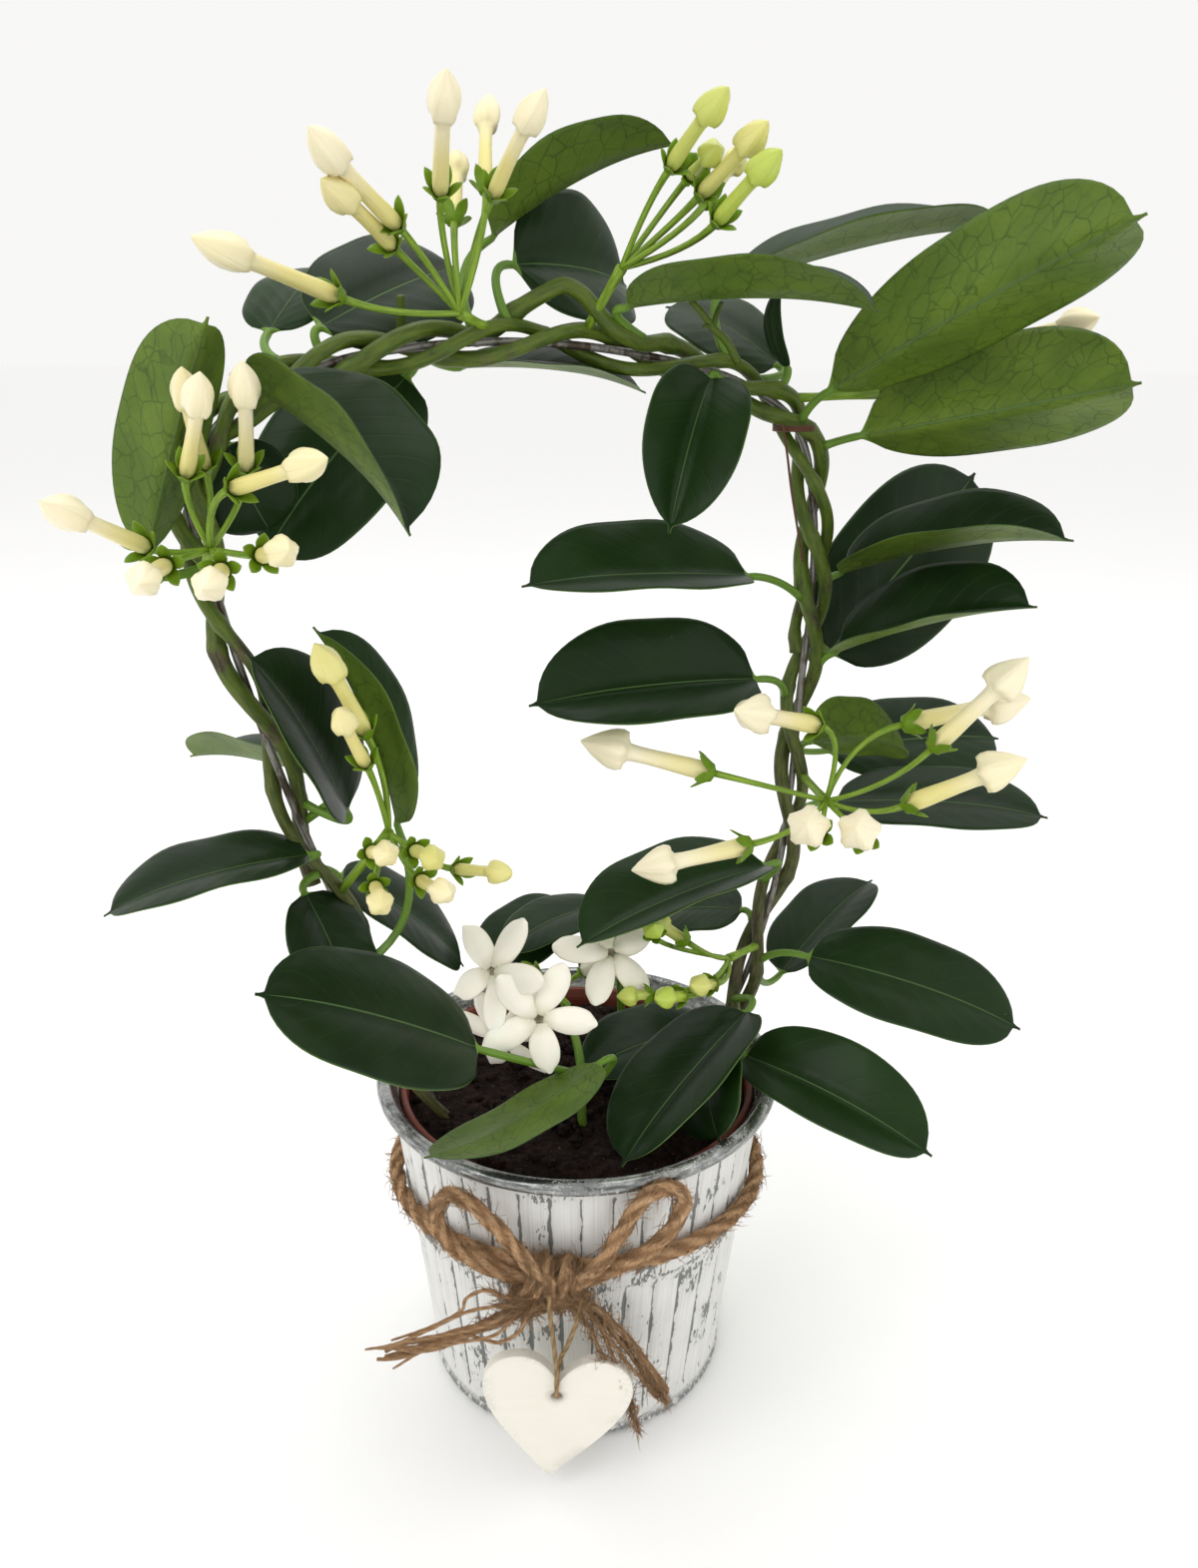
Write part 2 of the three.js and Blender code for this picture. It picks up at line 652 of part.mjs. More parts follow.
// six corners round a blade's section: two halves folded up along the middle
function bladeRing(blade, share) {
  const { frame, width, fold = 0 } = blade;
  const sideLean = Math.cos(fold * degree);
  const sideRise = Math.sin(fold * degree);
  const middle = spinePoint(blade, share);
  const reach = Math.max((width / 2) * outline(share), leastHalfWidth);
  const upper = [];
  const lower = [];
  [-1, 0, 1].forEach((lane) => {
    const centre = middle.clone().addScaledVector(frame.across, reach * lane * sideLean);
    centre.addScaledVector(frame.normal, reach * Math.abs(lane) * sideRise);
    const facing = frame.normal.clone().multiplyScalar(lane === 0 ? 1 / sideLean : sideLean);
    facing.addScaledVector(frame.across, -lane * sideRise);
    upper.push(centre.clone().addScaledVector(facing, bladeThickness / 2));
    lower.unshift(centre.clone().addScaledVector(facing, -bladeThickness / 2));
  });
  return [...upper, ...lower];
}

// six corners round a stalk, from its root to the foot of the blade
function stalkRings(root, foot, frame) {
  const reach = root.distanceTo(foot);
  const bend = foot.clone().addScaledVector(frame.axis, -reach / 2);
  const curve = new THREE.QuadraticBezierCurve3(root, bend, foot);
  const shares = reach > longStalk ? [1, 0.7, 0.4, 0] : [1, 0.5, 0];
  const normal = frame.normal.clone();
  const rings = shares.map((share) => {
    const along = curve.getTangent(share);
    normal.addScaledVector(along, -normal.dot(along)).normalize();
    const across = new THREE.Vector3().crossVectors(along, normal);
    const middle = curve.getPoint(share);
    return [150, 90, 30, -30, -90, -150].map((angle) => {
      const corner = middle.clone();
      corner.addScaledVector(across, stalkRadius * Math.cos(angle * degree));
      return corner.addScaledVector(normal, stalkRadius * Math.sin(angle * degree));
    });
  });
  return rings.reverse();
}

// closed body through rings of six corners, both faces of the blade split alike
function lofted(rings) {
  const faces = [];
  rings.slice(1).forEach((_, ring) => {
    for (let i = 0; i < 6; i += 1) {
      const [a, b] = [ring * 6 + i, ring * 6 + ((i + 1) % 6)];
      const [c, d] = [a + 6, b + 6];
      if (i < 3) {
        faces.push([a, b, d], [a, d, c]);
      } else {
        faces.push([a, b, c], [b, d, c]);
      }
    }
  });
  const end = (rings.length - 1) * 6;
  faces.push([0, 5, 1], [5, 4, 1], [1, 4, 2], [4, 3, 2]);
  faces.push([end, end + 1, end + 5], [end + 5, end + 1, end + 4]);
  faces.push([end + 1, end + 2, end + 4], [end + 4, end + 2, end + 3]);
  return shell(rings.flat().map((corner) => corner.toArray()), faces);
}

function leafSolid(root, base, heading, rise, length, width, lean, fold, bends) {
  const frame = bladeFrame(heading, rise, lean);
  const blade = { base, length, width, fold, frame, ...bends };
  const stations = length < shortLeaf ? alongStationsShort : alongStations;
  const rings = stations.map((share) => bladeRing(blade, share));
  return lofted([...stalkRings(root, vector(base), frame), ...rings]);
}

// where a stalk starts: just outside the bar that bears it, on the side it grows to
function stalkRoot(bearer, foot) {
  const away = foot.clone().sub(bearer.point).normalize();
  return bearer.point.clone().addScaledVector(away, bearer.radius + roomGap);
}

// each leaf's own small bend
function bendsOf(order, own = {}) {
  return { arch: usualArch, hook: usualHook, sway: usualSway * Math.sin(2.4 * order), ...own };
}

// buds and flowers

// corners round a bar at one point of its line
function roundRing(middle, across, normal, radius) {
  return Array.from({ length: budSides }, (_, i) => {
    const angle = (2 * Math.PI * i) / budSides;
    const corner = middle.clone().addScaledVector(across, radius * Math.cos(angle));
    return corner.addScaledVector(normal, radius * Math.sin(angle));
  });
}

// pedicel from a hub that arrives along the axis of the bud or flower at its end
function pedicelRings(hub, foot, frame) {
  const bend = foot.clone().addScaledVector(frame.axis, -hub.distanceTo(foot) / 2);
  const curve = new THREE.QuadraticBezierCurve3(hub, bend, foot);
  const normal = frame.normal.clone();
  const rings = [1, 0.5, 0].map((share) => {
    const along = curve.getTangent(share);
    normal.addScaledVector(along, -normal.dot(along)).normalize();
    const across = new THREE.Vector3().crossVectors(along, normal);
    return roundRing(curve.getPoint(share), across, normal, pedicelRadius);
  });
  return rings.reverse();
}

// closed body through rings of corners, ending in a point
function pointed(rings, tip) {
  const faces = [];
  rings.slice(1).forEach((_, ring) => {
    for (let i = 0; i < budSides; i += 1) {
      const [a, b] = [ring * budSides + i, ring * budSides + ((i + 1) % budSides)];
      faces.push([a, b, b + budSides], [a, b + budSides, a + budSides]);
    }
  });
  const last = (rings.length - 1) * budSides;
  const end = last + budSides;
  for (let i = 0; i < budSides; i += 1) {
    faces.push([last + i, last + ((i + 1) % budSides), end]);
    if (i > 1) {
      faces.push([0, i, i - 1]);
    }
  }
  return shell([...rings.flat(), tip].map((corner) => corner.toArray()), faces);
}

// pedicel, calyx and closed bud in one
function budSolid(hub, fullness, foot, heading, rise, length) {
  const frame = bladeFrame(heading, rise, 0);
  const start = vector(foot);
  const plump = fullness * (length / budLength) ** budPlump;
  const rings = budProfile.map(([share, radius]) => {
    const middle = start.clone().addScaledVector(frame.axis, share * length);
    return roundRing(middle, frame.across, frame.normal, radius * plump);
  });
  const tip = start.clone().addScaledVector(frame.axis, length);
  return pointed([...pedicelRings(hub, start, frame), ...rings], tip);
}

function umbelSolid(umbel) {
  const hub = vector(umbel.hub);
  const root = stalkRoot(nearestOnVines(umbel.at, hub), hub);
  const pieces = [tube([root, hub], peduncleRadius, peduncleSides, 1)];
  umbel.buds.forEach((bud) => pieces.push(budSolid(hub, umbel.plump, ...bud)));
  return joined(pieces);
}

// star of petals as one thin plate, facing +Z
function corollaSolid(spin) {
  const points = [[0, 0, bladeThickness / 2], [0, 0, -bladeThickness / 2]];
  const faces = [];
  const corners = petalCount * petalCorners.length;
  for (let i = 0; i < corners; i += 1) {
    const petal = Math.floor(i / petalCorners.length);
    const [turn, reach, height] = petalCorners[i % petalCorners.length];
    const angle = (turn + spin + (360 * petal) / petalCount) * degree;
    const [x, y] = [reach * Math.cos(angle), reach * Math.sin(angle)];
    points.push([x, y, height + bladeThickness / 2], [x, y, height - bladeThickness / 2]);
    const here = 2 + 2 * i;
    const next = 2 + 2 * ((i + 1) % corners);
    faces.push([0, here, next], [1, next + 1, here + 1]);
    faces.push([here, here + 1, next + 1], [here, next + 1, next]);
  }
  return shell(points, faces);
}

function openFlowerSolid(middle, heading, rise, spin) {
  const frame = bladeFrame(heading, rise, 0);
  const face = vector(middle);
  const foot = face.clone().addScaledVector(frame.axis, -flowerTube);
  const rings = flowerTubeProfile.map(([share, radius]) => {
    const place = foot.clone().addScaledVector(frame.axis, share * flowerTube);
    return roundRing(place, frame.across, frame.normal, radius);
  });
  const throat = pointed([...pedicelRings(vector(openHub), foot, frame), ...rings], face);
  return joined([throat, placed(corollaSolid(spin), face, frame.axis)]);
}

// twine, knot, loose ends and heart

function twineHeight(angle) {
  const front = Math.cos(angle);
  return twineSide + (twineFront - twineSide) * front;
}

function twineRing() {
  const pointAt = (angle) => {
    const height = twineHeight(angle);
    const reach = sideRadius(height) + 2 * gap + twineRadius;
    return new THREE.Vector3(reach * Math.sin(angle), -reach * Math.cos(angle), height);
  };
  return ringTube(pointAt, new THREE.Vector3(0, 0, 1), twineRadius, twineSides, twineSteps);
}

function knotTurn(offset, slant) {
  const middle = vector(knotMiddle);
  const pointAt = (angle) => new THREE.Vector3(
    middle.x + offset + slant * knotReach[1] * Math.sin(angle),
    middle.y + knotReach[0] * Math.cos(angle),
    middle.z + knotReach[1] * Math.sin(angle),
  );
  return ringTube(pointAt, new THREE.Vector3(1, 0, 0), knotRadius, twineSides, knotSteps);
}

function twineBow(rooms) {
  const pieces = [
    twineRing(),
    tube(leftLoop.map(vector), bowRadius, twineSides, bowSteps),
    tube(rightLoop.map(vector), bowRadius, twineSides, bowSteps),
    ...knotTurns.map(([offset, slant]) => knotTurn(offset, slant)),
  ];
  return largest(joined(pieces).subtract(potSpace()).subtract(rooms));
}

function heartSolid() {
  const shape = new THREE.Shape();
  shape.moveTo(...heartDip);
  heartCurves.forEach((curve) => shape.bezierCurveTo(...curve));
  const rim = shape.getPoints(heartCurveSteps).slice(0, -1);
  const front = -heartThickness / 2;
  const turn = new THREE.Matrix4().makeRotationY(heartTilt * degree).setPosition(...heartMiddle);
  const points = [];
  const faces = [];
  rim.forEach((corner, i) => {
    const edge = corner.clone().setLength(heartHole);
    const places = [
      [edge.x, front, edge.y], [corner.x, front, corner.y],
      [corner.x, -front, corner.y], [edge.x, -front, edge.y],
    ];
    places.forEach((place, ring) => {
      points.push(vector(place).applyMatrix4(turn).toArray());
      const next = (ring + 1) % 4;
      const ahead = (i + 1) % rim.length;
      const [a, b] = [4 * i + ring, 4 * i + next];
      const [c, d] = [4 * ahead + ring, 4 * ahead + next];
      faces.push([a, b, d], [a, d, c]);
    });
  });
  return shell(points, faces);
}

// all pieces, from the foot up

const cordLines = [
  ['rope_tail_left', leftTail, tailRadius, tailSteps, colours.twine],
  ['rope_tail_right', rightTail, tailRadius, tailSteps, colours.twine],
  ['heart_string', stringLine, stringRadius, stringSteps, colours.string],
];
const cordRooms = joined(cordLines.map(([, line, radius, steps]) => tube(
  lengthened(line.map(vector), 1), radius + gap, cordSides, steps,
)));

addNode('zinc_pot', zincPot(), colours.zinc);
addNode('nursery_pot', nurseryPot(), colours.nursery);
addNode('soil', soilBody(joined([hoopRoom, ...shootRooms])), colours.soil);
addNode('wire_hoop', wireHoop, colours.wire);
vines.forEach((vine, i) => addNode(vine.name, vineSolids[i], colours.vine));

shoots.forEach((shoot, i) => {
  const line = shoot.line.map(vector);
  const curve = new THREE.CatmullRomCurve3(line, false, 'catmullrom', 0.5);
  const stem = tube(line, shootRadius, vineSides, shootSteps);
  const blades = shoot.leaves.map(
    ([share, ...row], j) => leafSolid(curve.getPoint(share), ...row, bendsOf(2 * i + j)),
  );
  addNode(shoot.name, joined([stem, ...blades]), colours.leaf);
});

leafRows.forEach(([name, at, base, heading, rise, length, width, lean, fold, own], i) => {
  const root = stalkRoot(nearestOnVines(at, vector(base)), vector(base));
  const bends = bendsOf(i, own);
  const whole = leafSolid(root, base, heading, rise, length, width, lean, fold, bends);
  addNode(name, largest(whole.subtract(hoopRoom)), colours.leaf);
});
umbels.forEach((umbel) => {
  addNode(umbel.name, largest(umbelSolid(umbel).subtract(hoopRoom)), colours.petal);
});
const openPieces = openFlowers.map((row) => openFlowerSolid(...row));
const shootTip = vector(shoots[0].line[3]);
const openStalk = tube([shootTip, vector(openHub)], peduncleRadius, peduncleSides, 1);
const openBunch = joined([openStalk, ...openPieces]);
addNode('open_flowers', largest(openBunch.subtract(shootRooms[0])), colours.petal);

addNode('twine_bow', twineBow(cordRooms), colours.twine);
cordLines.forEach(([name, line, radius, steps, colour]) => {
  addNode(name, tube(line.map(vector), radius, cordSides, steps), colour);
});
addNode('wooden_heart', heartSolid(), colours.heart);

export default part;
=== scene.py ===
# Potted madagascar jasmine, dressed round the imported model. +Z up, the front faces -Y.
# Shapes are reckoned in millimetres and put into the meshes in metres.
import math

import bpy
import numpy as np
from mathutils import Matrix, Vector


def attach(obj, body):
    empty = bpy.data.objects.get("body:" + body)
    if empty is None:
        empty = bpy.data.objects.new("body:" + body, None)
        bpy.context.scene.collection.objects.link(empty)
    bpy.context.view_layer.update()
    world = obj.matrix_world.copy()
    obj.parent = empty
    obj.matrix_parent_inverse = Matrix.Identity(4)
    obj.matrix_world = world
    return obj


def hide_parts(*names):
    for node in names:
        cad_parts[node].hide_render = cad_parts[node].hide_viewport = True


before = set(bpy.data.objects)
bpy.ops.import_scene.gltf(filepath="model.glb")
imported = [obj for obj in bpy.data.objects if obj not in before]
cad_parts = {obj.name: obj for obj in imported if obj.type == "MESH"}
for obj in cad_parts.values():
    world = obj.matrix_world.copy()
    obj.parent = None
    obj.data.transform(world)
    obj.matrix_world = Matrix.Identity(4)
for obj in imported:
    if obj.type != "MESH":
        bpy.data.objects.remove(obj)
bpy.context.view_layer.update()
chance = np.random.default_rng(11)
print("frame loaded:", len(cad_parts), "nodes")


# vectors and lines

def unit(v):
    return v / np.linalg.norm(v, axis=-1, keepdims=True)


def heading(turn, rise):  # a direction: turn is counted from +X towards +Y, rise above level
    a, b = math.radians(turn), math.radians(rise)
    return np.array([math.cos(b) * math.cos(a), math.cos(b) * math.sin(a), math.sin(b)])


def bladeFrame(turn, rise, lean):  # axis, normal and across of a blade, leaned about its axis
    axis = heading(turn, rise)
    up = unit(np.array([0, 0, 1.0]) - axis * axis[2])
    side = np.cross(axis, up)
    normal = up * math.cos(math.radians(lean)) + side * math.sin(math.radians(lean))
    return axis, normal, np.cross(axis, normal)


def onLine(points, at):  # smooth line through points; at counts the points
    p = np.vstack([2 * points[0] - points[1], points, 2 * points[-1] - points[-2]])
    i = np.clip(np.floor(at).astype(int), 0, len(points) - 2)
    w = (at - i)[:, None]
    a, b, c, d = p[i], p[i + 1], p[i + 2], p[i + 3]
    m, n = (c - a) / 2, (d - b) / 2
    return (2 * b - 2 * c + m + n) * w**3 + (3 * c - 3 * b - 2 * m - n) * w**2 + m * w + b


def smoothLine(points, perSpan):
    points = np.asarray(points, float)
    return onLine(points, np.linspace(0, len(points) - 1, (len(points) - 1) * perSpan + 1))


def bentLine(start, end, axis, steps):  # quadratic bend that reaches its end along axis
    bend = end - axis * np.linalg.norm(end - start) / 2
    t = np.linspace(0, 1, steps)[:, None]
    return (1 - t) ** 2 * start + 2 * t * (1 - t) * bend + t**2 * end


def runOf(path):  # the length of a path up to each of its points
    return np.concatenate([[0], np.cumsum(np.linalg.norm(np.diff(path, axis=0), axis=1))])


def shareOf(path):  # 0 to 1 over the points of a path
    return np.linspace(0, 1, len(path))


def twoFaced(lanes):  # lanes over the top and back along the underside, and 1 or -1 for the face
    return np.concatenate([lanes, lanes[::-1]]), np.repeat([1.0, -1.0], len(lanes))


def squareTo(path, reference=None):  # two directions across a path, square to each other
    tangent = unit(np.gradient(path, axis=0))
    if reference is None:
        reference = np.linalg.svd(tangent, full_matrices=False)[2][-1]
    normal = unit(reference - tangent * (tangent @ reference)[:, None])
    return normal, np.cross(tangent, normal)


def onceRound(sides):  # the angles of so many sides
    return 2 * np.pi * np.arange(sides) / sides


def spokes(a, b, angle):  # a cos(angle) + b sin(angle), for one pair of directions or for a row of them
    return a[..., None, :] * np.cos(angle)[:, None] + b[..., None, :] * np.sin(angle)[:, None]


def turned(radius, angle, z):  # points round the upright axis, counted from the front
    x, y = radius * np.sin(angle), -radius * np.cos(angle)
    return np.stack([x, y, np.broadcast_to(z, x.shape)], -1)


def layoutOf(across, along, shape):  # u and v for every point of a grid
    return np.stack([np.broadcast_to(across, shape), np.broadcast_to(along, shape)], 2)


def step(low, high, x):  # 0 below low, 1 above high, smooth between
    t = np.clip((x - low) / (high - low), 0, 1)
    return t * t * (3 - 2 * t)


# meshes

# grid[r, c] are points; a face joins rows r, r + 1 and columns c, c + 1, and the last column
# meets the first; each open end is closed with a fan
def loft(grid, uv=None, run=None, finish=0, tone=0.0):
    rows, cols = grid.shape[:2]
    r, c = (x.ravel() for x in np.meshgrid(np.arange(rows - 1), np.arange(cols), indexing="ij"))
    ahead = (c + 1) % cols
    quads = np.stack([r * cols + c, r * cols + ahead, (r + 1) * cols + ahead, (r + 1) * cols + c], 1)
    down = np.arange(rows) / (rows - 1) if run is None else run
    if uv is None:
        over = np.stack([c, c + 1, c + 1, c], 1) / cols
        quadUv = np.stack([over, down[np.stack([r, r, r + 1, r + 1], 1)]], 2)
        flat = np.stack(np.meshgrid(down, np.arange(cols) / cols, indexing="ij"), 2)[..., ::-1]
    else:
        quadUv = uv.reshape(-1, 2)[quads]
        flat = uv
    first, last = rows * cols, rows * cols + 1
    side = np.arange(cols)
    nextSide = (side + 1) % cols
    end = (rows - 1) * cols
    tris = np.vstack([
        np.stack([np.full(cols, first), nextSide, side], 1),
        np.stack([np.full(cols, last), end + side, end + nextSide], 1),
    ])
    points = np.vstack([grid.reshape(-1, 3), grid[0].mean(0), grid[-1].mean(0)])
    flatUv = np.vstack([flat.reshape(-1, 2), flat[0].mean(0), flat[-1].mean(0)])
    faceFinish = np.zeros((rows - 1, cols), int) + finish
    part = {
        "points": points, "quads": quads, "tris": tris, "quadUv": quadUv, "triUv": flatUv[tris],
        "quadFinish": faceFinish.ravel(),
        "triFinish": np.concatenate([faceFinish[0], faceFinish[-1]]),
        "tone": np.full(len(points), float(tone)),
    }
    corners = points[np.vstack([tris, quads[:, :3], quads[:, [0, 2, 3]]])]
    if np.einsum("ij,ij->i", corners[:, 0], np.cross(corners[:, 1], corners[:, 2])).sum() < 0:
        for key in ("quads", "tris", "quadUv", "triUv"):
            part[key] = part[key][:, ::-1]
    return part


# many small lofts of one layout as one part: grids[i, r, c]
def loftMany(grids, tones):
    one = loft(grids[0])
    count = len(grids)
    shift = (np.arange(count) * len(one["points"]))[:, None, None]
    ends = grids[:, [0, -1]].mean(2)
    return {
        "points": np.concatenate([grids.reshape(count, -1, 3), ends], 1).reshape(-1, 3),
        "quads": (one["quads"] + shift).reshape(-1, 4), "tris": (one["tris"] + shift).reshape(-1, 3),
        "quadUv": np.tile(one["quadUv"], (count, 1, 1)), "triUv": np.tile(one["triUv"], (count, 1, 1)),
        "quadFinish": np.tile(one["quadFinish"], count), "triFinish": np.tile(one["triFinish"], count),
        "tone": np.repeat(tones, len(one["points"])),
    }


def stand(name, data):  # an object of the scene, at the origin
    made = bpy.data.objects.new(name, data)
    bpy.context.scene.collection.objects.link(made)
    return made


# one object from several parts: rides on the root body, stands for its nodes, wears its finishes
def addPiece(name, parts, finishes, nodes=()):
    offsets = np.cumsum([0] + [len(p["points"]) for p in parts])
    quads = np.vstack([p["quads"] + o for p, o in zip(parts, offsets)])
    tris = np.vstack([p["tris"] + o for p, o in zip(parts, offsets)])
    points = np.vstack([p["points"] for p in parts]) * 0.001
    corners = np.concatenate([quads.ravel(), tris.ravel()]).astype(np.int32)
    sizes = np.concatenate([np.full(len(quads), 4), np.full(len(tris), 3)]).astype(np.int32)
    mesh = bpy.data.meshes.new(name)
    mesh.vertices.add(len(points))
    mesh.vertices.foreach_set("co", points.astype(np.float32).ravel())
    mesh.loops.add(len(corners))
    mesh.loops.foreach_set("vertex_index", corners)
    mesh.polygons.add(len(sizes))
    mesh.polygons.foreach_set("loop_start", (np.cumsum(sizes) - sizes).astype(np.int32))
    mesh.polygons.foreach_set("loop_total", sizes)
    worn = np.concatenate([p["quadFinish"] for p in parts] + [p["triFinish"] for p in parts])
    mesh.polygons.foreach_set("material_index", worn.astype(np.int32))
    mesh.update(calc_edges=True)
    layer = mesh.uv_layers.new(name="layout")
    flat = [p[key].reshape(-1, 2) for key in ("quadUv", "triUv") for p in parts]
    layer.data.foreach_set("uv", np.vstack(flat).astype(np.float32).ravel())
    tone = mesh.attributes.new("tone", "FLOAT", "POINT")
    tone.data.foreach_set("value", np.concatenate([p["tone"] for p in parts]).astype(np.float32))
    mesh.polygons.foreach_set("use_smooth", np.ones(len(sizes), bool))
    for finish in finishes:
        mesh.materials.append(finish.material)
    mesh.validate()
    piece = stand(name, mesh)
    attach(piece, "root")
    if nodes:
        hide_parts(*nodes)
    return piece


# a round section carried along a path: path + r (n cos a + b sin a), where r swells over the
# round plies of a rope: r = radius (1 - depth + depth w), with
# w = 2 sqrt(0.51 + 0.49 cos(plies a - 2 pi run / pitch)) - 1
def carry(path, radius, sides, reference=None, plies=0, pitch=1.0, depth=0.0):
    angle = onceRound(sides)
    twist = plies * angle - 2 * np.pi * runOf(path)[:, None] / pitch
    wave = 2 * np.sqrt(0.51 + 0.49 * np.cos(twist)) - 1
    reach = np.broadcast_to(radius, len(path))[:, None] * (1 - depth + depth * wave)
    return path[:, None] + reach[..., None] * spokes(*squareTo(path, reference), angle)


# finishes

class Signal:  # a node's output; sums with it add Math nodes
    def __init__(self, finish, socket):
        self.finish = finish
        self.socket = socket

    def math(self, operation, *values):
        sockets = dict(enumerate(values))
        return self.finish.node("ShaderNodeMath", {"operation": operation}, sockets)

    def __add__(self, other):
        return self.math("ADD", self, other)

    def __sub__(self, other):
        return self.math("SUBTRACT", self, other)

    def __rsub__(self, other):
        return self.math("SUBTRACT", other, self)

    def __mul__(self, other):
        return self.math("MULTIPLY", self, other)

    def __pow__(self, other):
        return self.math("POWER", self, other)

    __radd__ = __add__
    __rmul__ = __mul__

    def size(self):
        return self.math("ABSOLUTE", self)

    def part(self):  # what is left of whole numbers
        return self.math("FRACT", self)

    def wave(self):
        return self.math("SINE", self)

    def most(self, other):
        return self.math("MAXIMUM", self, other)

    def rise(self, low, high):  # 0 at low, 1 at high, smooth between
        return self.finish.node(
            "ShaderNodeMapRange", {"interpolation_type": "SMOOTHSTEP"},
            {"Value": self, "From Min": low, "From Max": high},
        )


class Finish:  # a material on the Principled shader
    def __init__(self, name, constants):
        self.material = bpy.data.materials.new(name)
        self.material.use_nodes = True
        self.tree = self.material.node_tree
        self.shader = self.tree.nodes["Principled BSDF"]
        for socket, value in constants.items():
            self.plug(self.shader.inputs[socket], value)

    def plug(self, socket, value):
        if isinstance(value, Signal):
            self.tree.links.new(value.socket, socket)
        elif socket.type == "RGBA":
            socket.default_value = (*value, 1)
        else:
            socket.default_value = value

    def node(self, kind, settings=None, sockets=None, output=0):
        node = self.tree.nodes.new(kind)
        for key, value in (settings or {}).items():
            setattr(node, key, value)
        for key, value in (sockets or {}).items():
            self.plug(node.inputs[key], value)
        return Signal(self, node.outputs[output])

    def place(self, stretch=(1, 1, 1)):
        where = self.node("ShaderNodeTexCoord", output="Object")
        return self.node("ShaderNodeMapping", None, {"Vector": where, "Scale": stretch})

    def layout(self):  # the piece's own u and v
        where = self.node("ShaderNodeUVMap", {"uv_map": "layout"})
        return [self.node("ShaderNodeSeparateXYZ", None, {"Vector": where}, i) for i in (0, 1)]

    def height(self):  # z above the floor, in metres
        return self.node("ShaderNodeSeparateXYZ", None, {"Vector": self.place()}, 2)

    def tone(self):
        return self.node("ShaderNodeAttribute", {"attribute_name": "tone"}, output="Fac")

    def noise(self, place, scale, detail=3.0, rough=0.5, bend=0.0):
        sockets = {"Vector": place, "Scale": scale, "Detail": detail, "Roughness": rough}
        return self.node("ShaderNodeTexNoise", None, {**sockets, "Distortion": bend})

    def streaks(self, across, along, detail, rough=0.5, third=0.0, scale=1.0, bend=0.0):
        place = self.node("ShaderNodeCombineXYZ", None, {0: across, 1: along, 2: third})
        return self.noise(place, scale, detail, rough, bend)

    def vector(self, operation, sockets):
        return self.node("ShaderNodeVectorMath", {"operation": operation}, sockets)

    def shake(self, place, scale, reach):  # the place moved about by noise, for natural lines
        noise = self.node("ShaderNodeTexNoise", None, {"Vector": place, "Scale": scale}, 1)
        away = self.vector("SUBTRACT", {0: noise, 1: (0.5, 0.5, 0.5)})
        away = self.vector("SCALE", {0: away, "Scale": reach})
        return self.vector("ADD", {0: place, 1: away})

    def cells(self, place, scale, feature="F1"):
        return self.node("ShaderNodeTexVoronoi", {"feature": feature}, {"Vector": place, "Scale": scale})

    def blend(self, factor, a, b):  # colour a where factor is 0, b where it is 1
        return self.node("ShaderNodeMix", {"data_type": "RGBA"}, {"Factor": factor, 6: a, 7: b}, 2)

    def wear(self, colour=None, rough=None, metal=None, bump=None, deep=0.0003, strength=1.0):
        for socket, value in (("Base Color", colour), ("Roughness", rough), ("Metallic", metal)):
            if value is not None:
                self.plug(self.shader.inputs[socket], value)
        if bump is not None:
            sockets = {"Strength": strength, "Distance": deep, "Height": bump}
            self.plug(self.shader.inputs["Normal"], self.node("ShaderNodeBump", None, sockets))
        return self


# leaf: u runs across the blade with the midrib at 0.5, v from its foot to its tip
leafLook = {
  "deep": (0.0050, 0.0155, 0.0036), "fresh": (0.0135, 0.0400, 0.0065), "rib": (0.085, 0.155, 0.05),
  "under": (0.130, 0.205, 0.020), "underDark": (0.048, 0.095, 0.011), "net": (0.012, 0.038, 0.003),
  "speck": (0.12, 0.15, 0.11), "veins": 8.0, "slant": 5.0,
  "stalk": ((0.07, 0.16, 0.012), (0.16, 0.29, 0.028), (0.3, 0.38, 0.12)),
}


def sideVeins(v, out):  # 1 on the side veins, that run forward to the edge
    line = ((v * leafLook["veins"] - out * leafLook["slant"]).part() - 0.5).size()
    return (1 - line.rise(0.0, 0.07)) * (1 - out.rise(0.36, 0.47)) * out.rise(0.01, 0.05)


def leafTop():
    f = Finish("leafTop", {"Coat Weight": 0.05, "Coat Roughness": 0.16, "Specular IOR Level": 0.13})
    u, v = f.layout()
    place = f.place()
    out = (u - 0.5).size()
    cloudy = f.noise(place, 55, 3, 0.55)
    fine = f.noise(place, 900, 2, 0.6)
    rib = 1 - out.rise(0.002, 0.011)
    edge = out.rise(0.482, 0.498)
    veins = sideVeins(v, out)
    light = cloudy.rise(0.3, 0.75) * 0.35 + f.tone() * 0.65
    colour = f.blend(light, leafLook["deep"], leafLook["fresh"])
    colour = f.blend(veins * 0.035, colour, leafLook["rib"])
    colour = f.blend((rib * 0.85).most(edge * 0.45), colour, leafLook["rib"])
    specks = (1 - f.cells(place, 160).rise(0.03, 0.05)) * f.noise(place, 40).rise(0.6, 0.62)
    colour = f.blend(specks * 0.5, colour, leafLook["speck"])
    rough = 0.27 + cloudy * 0.2 + fine * 0.05
    swell = ((v * leafLook["veins"] - out * leafLook["slant"]) * 6.283).wave()  # between the veins
    bump = fine * 0.1 + cloudy * 0.7 + swell * 0.15 - veins * 0.2 - rib * 0.9
    return f.wear(colour, rough, bump=bump, strength=0.6)


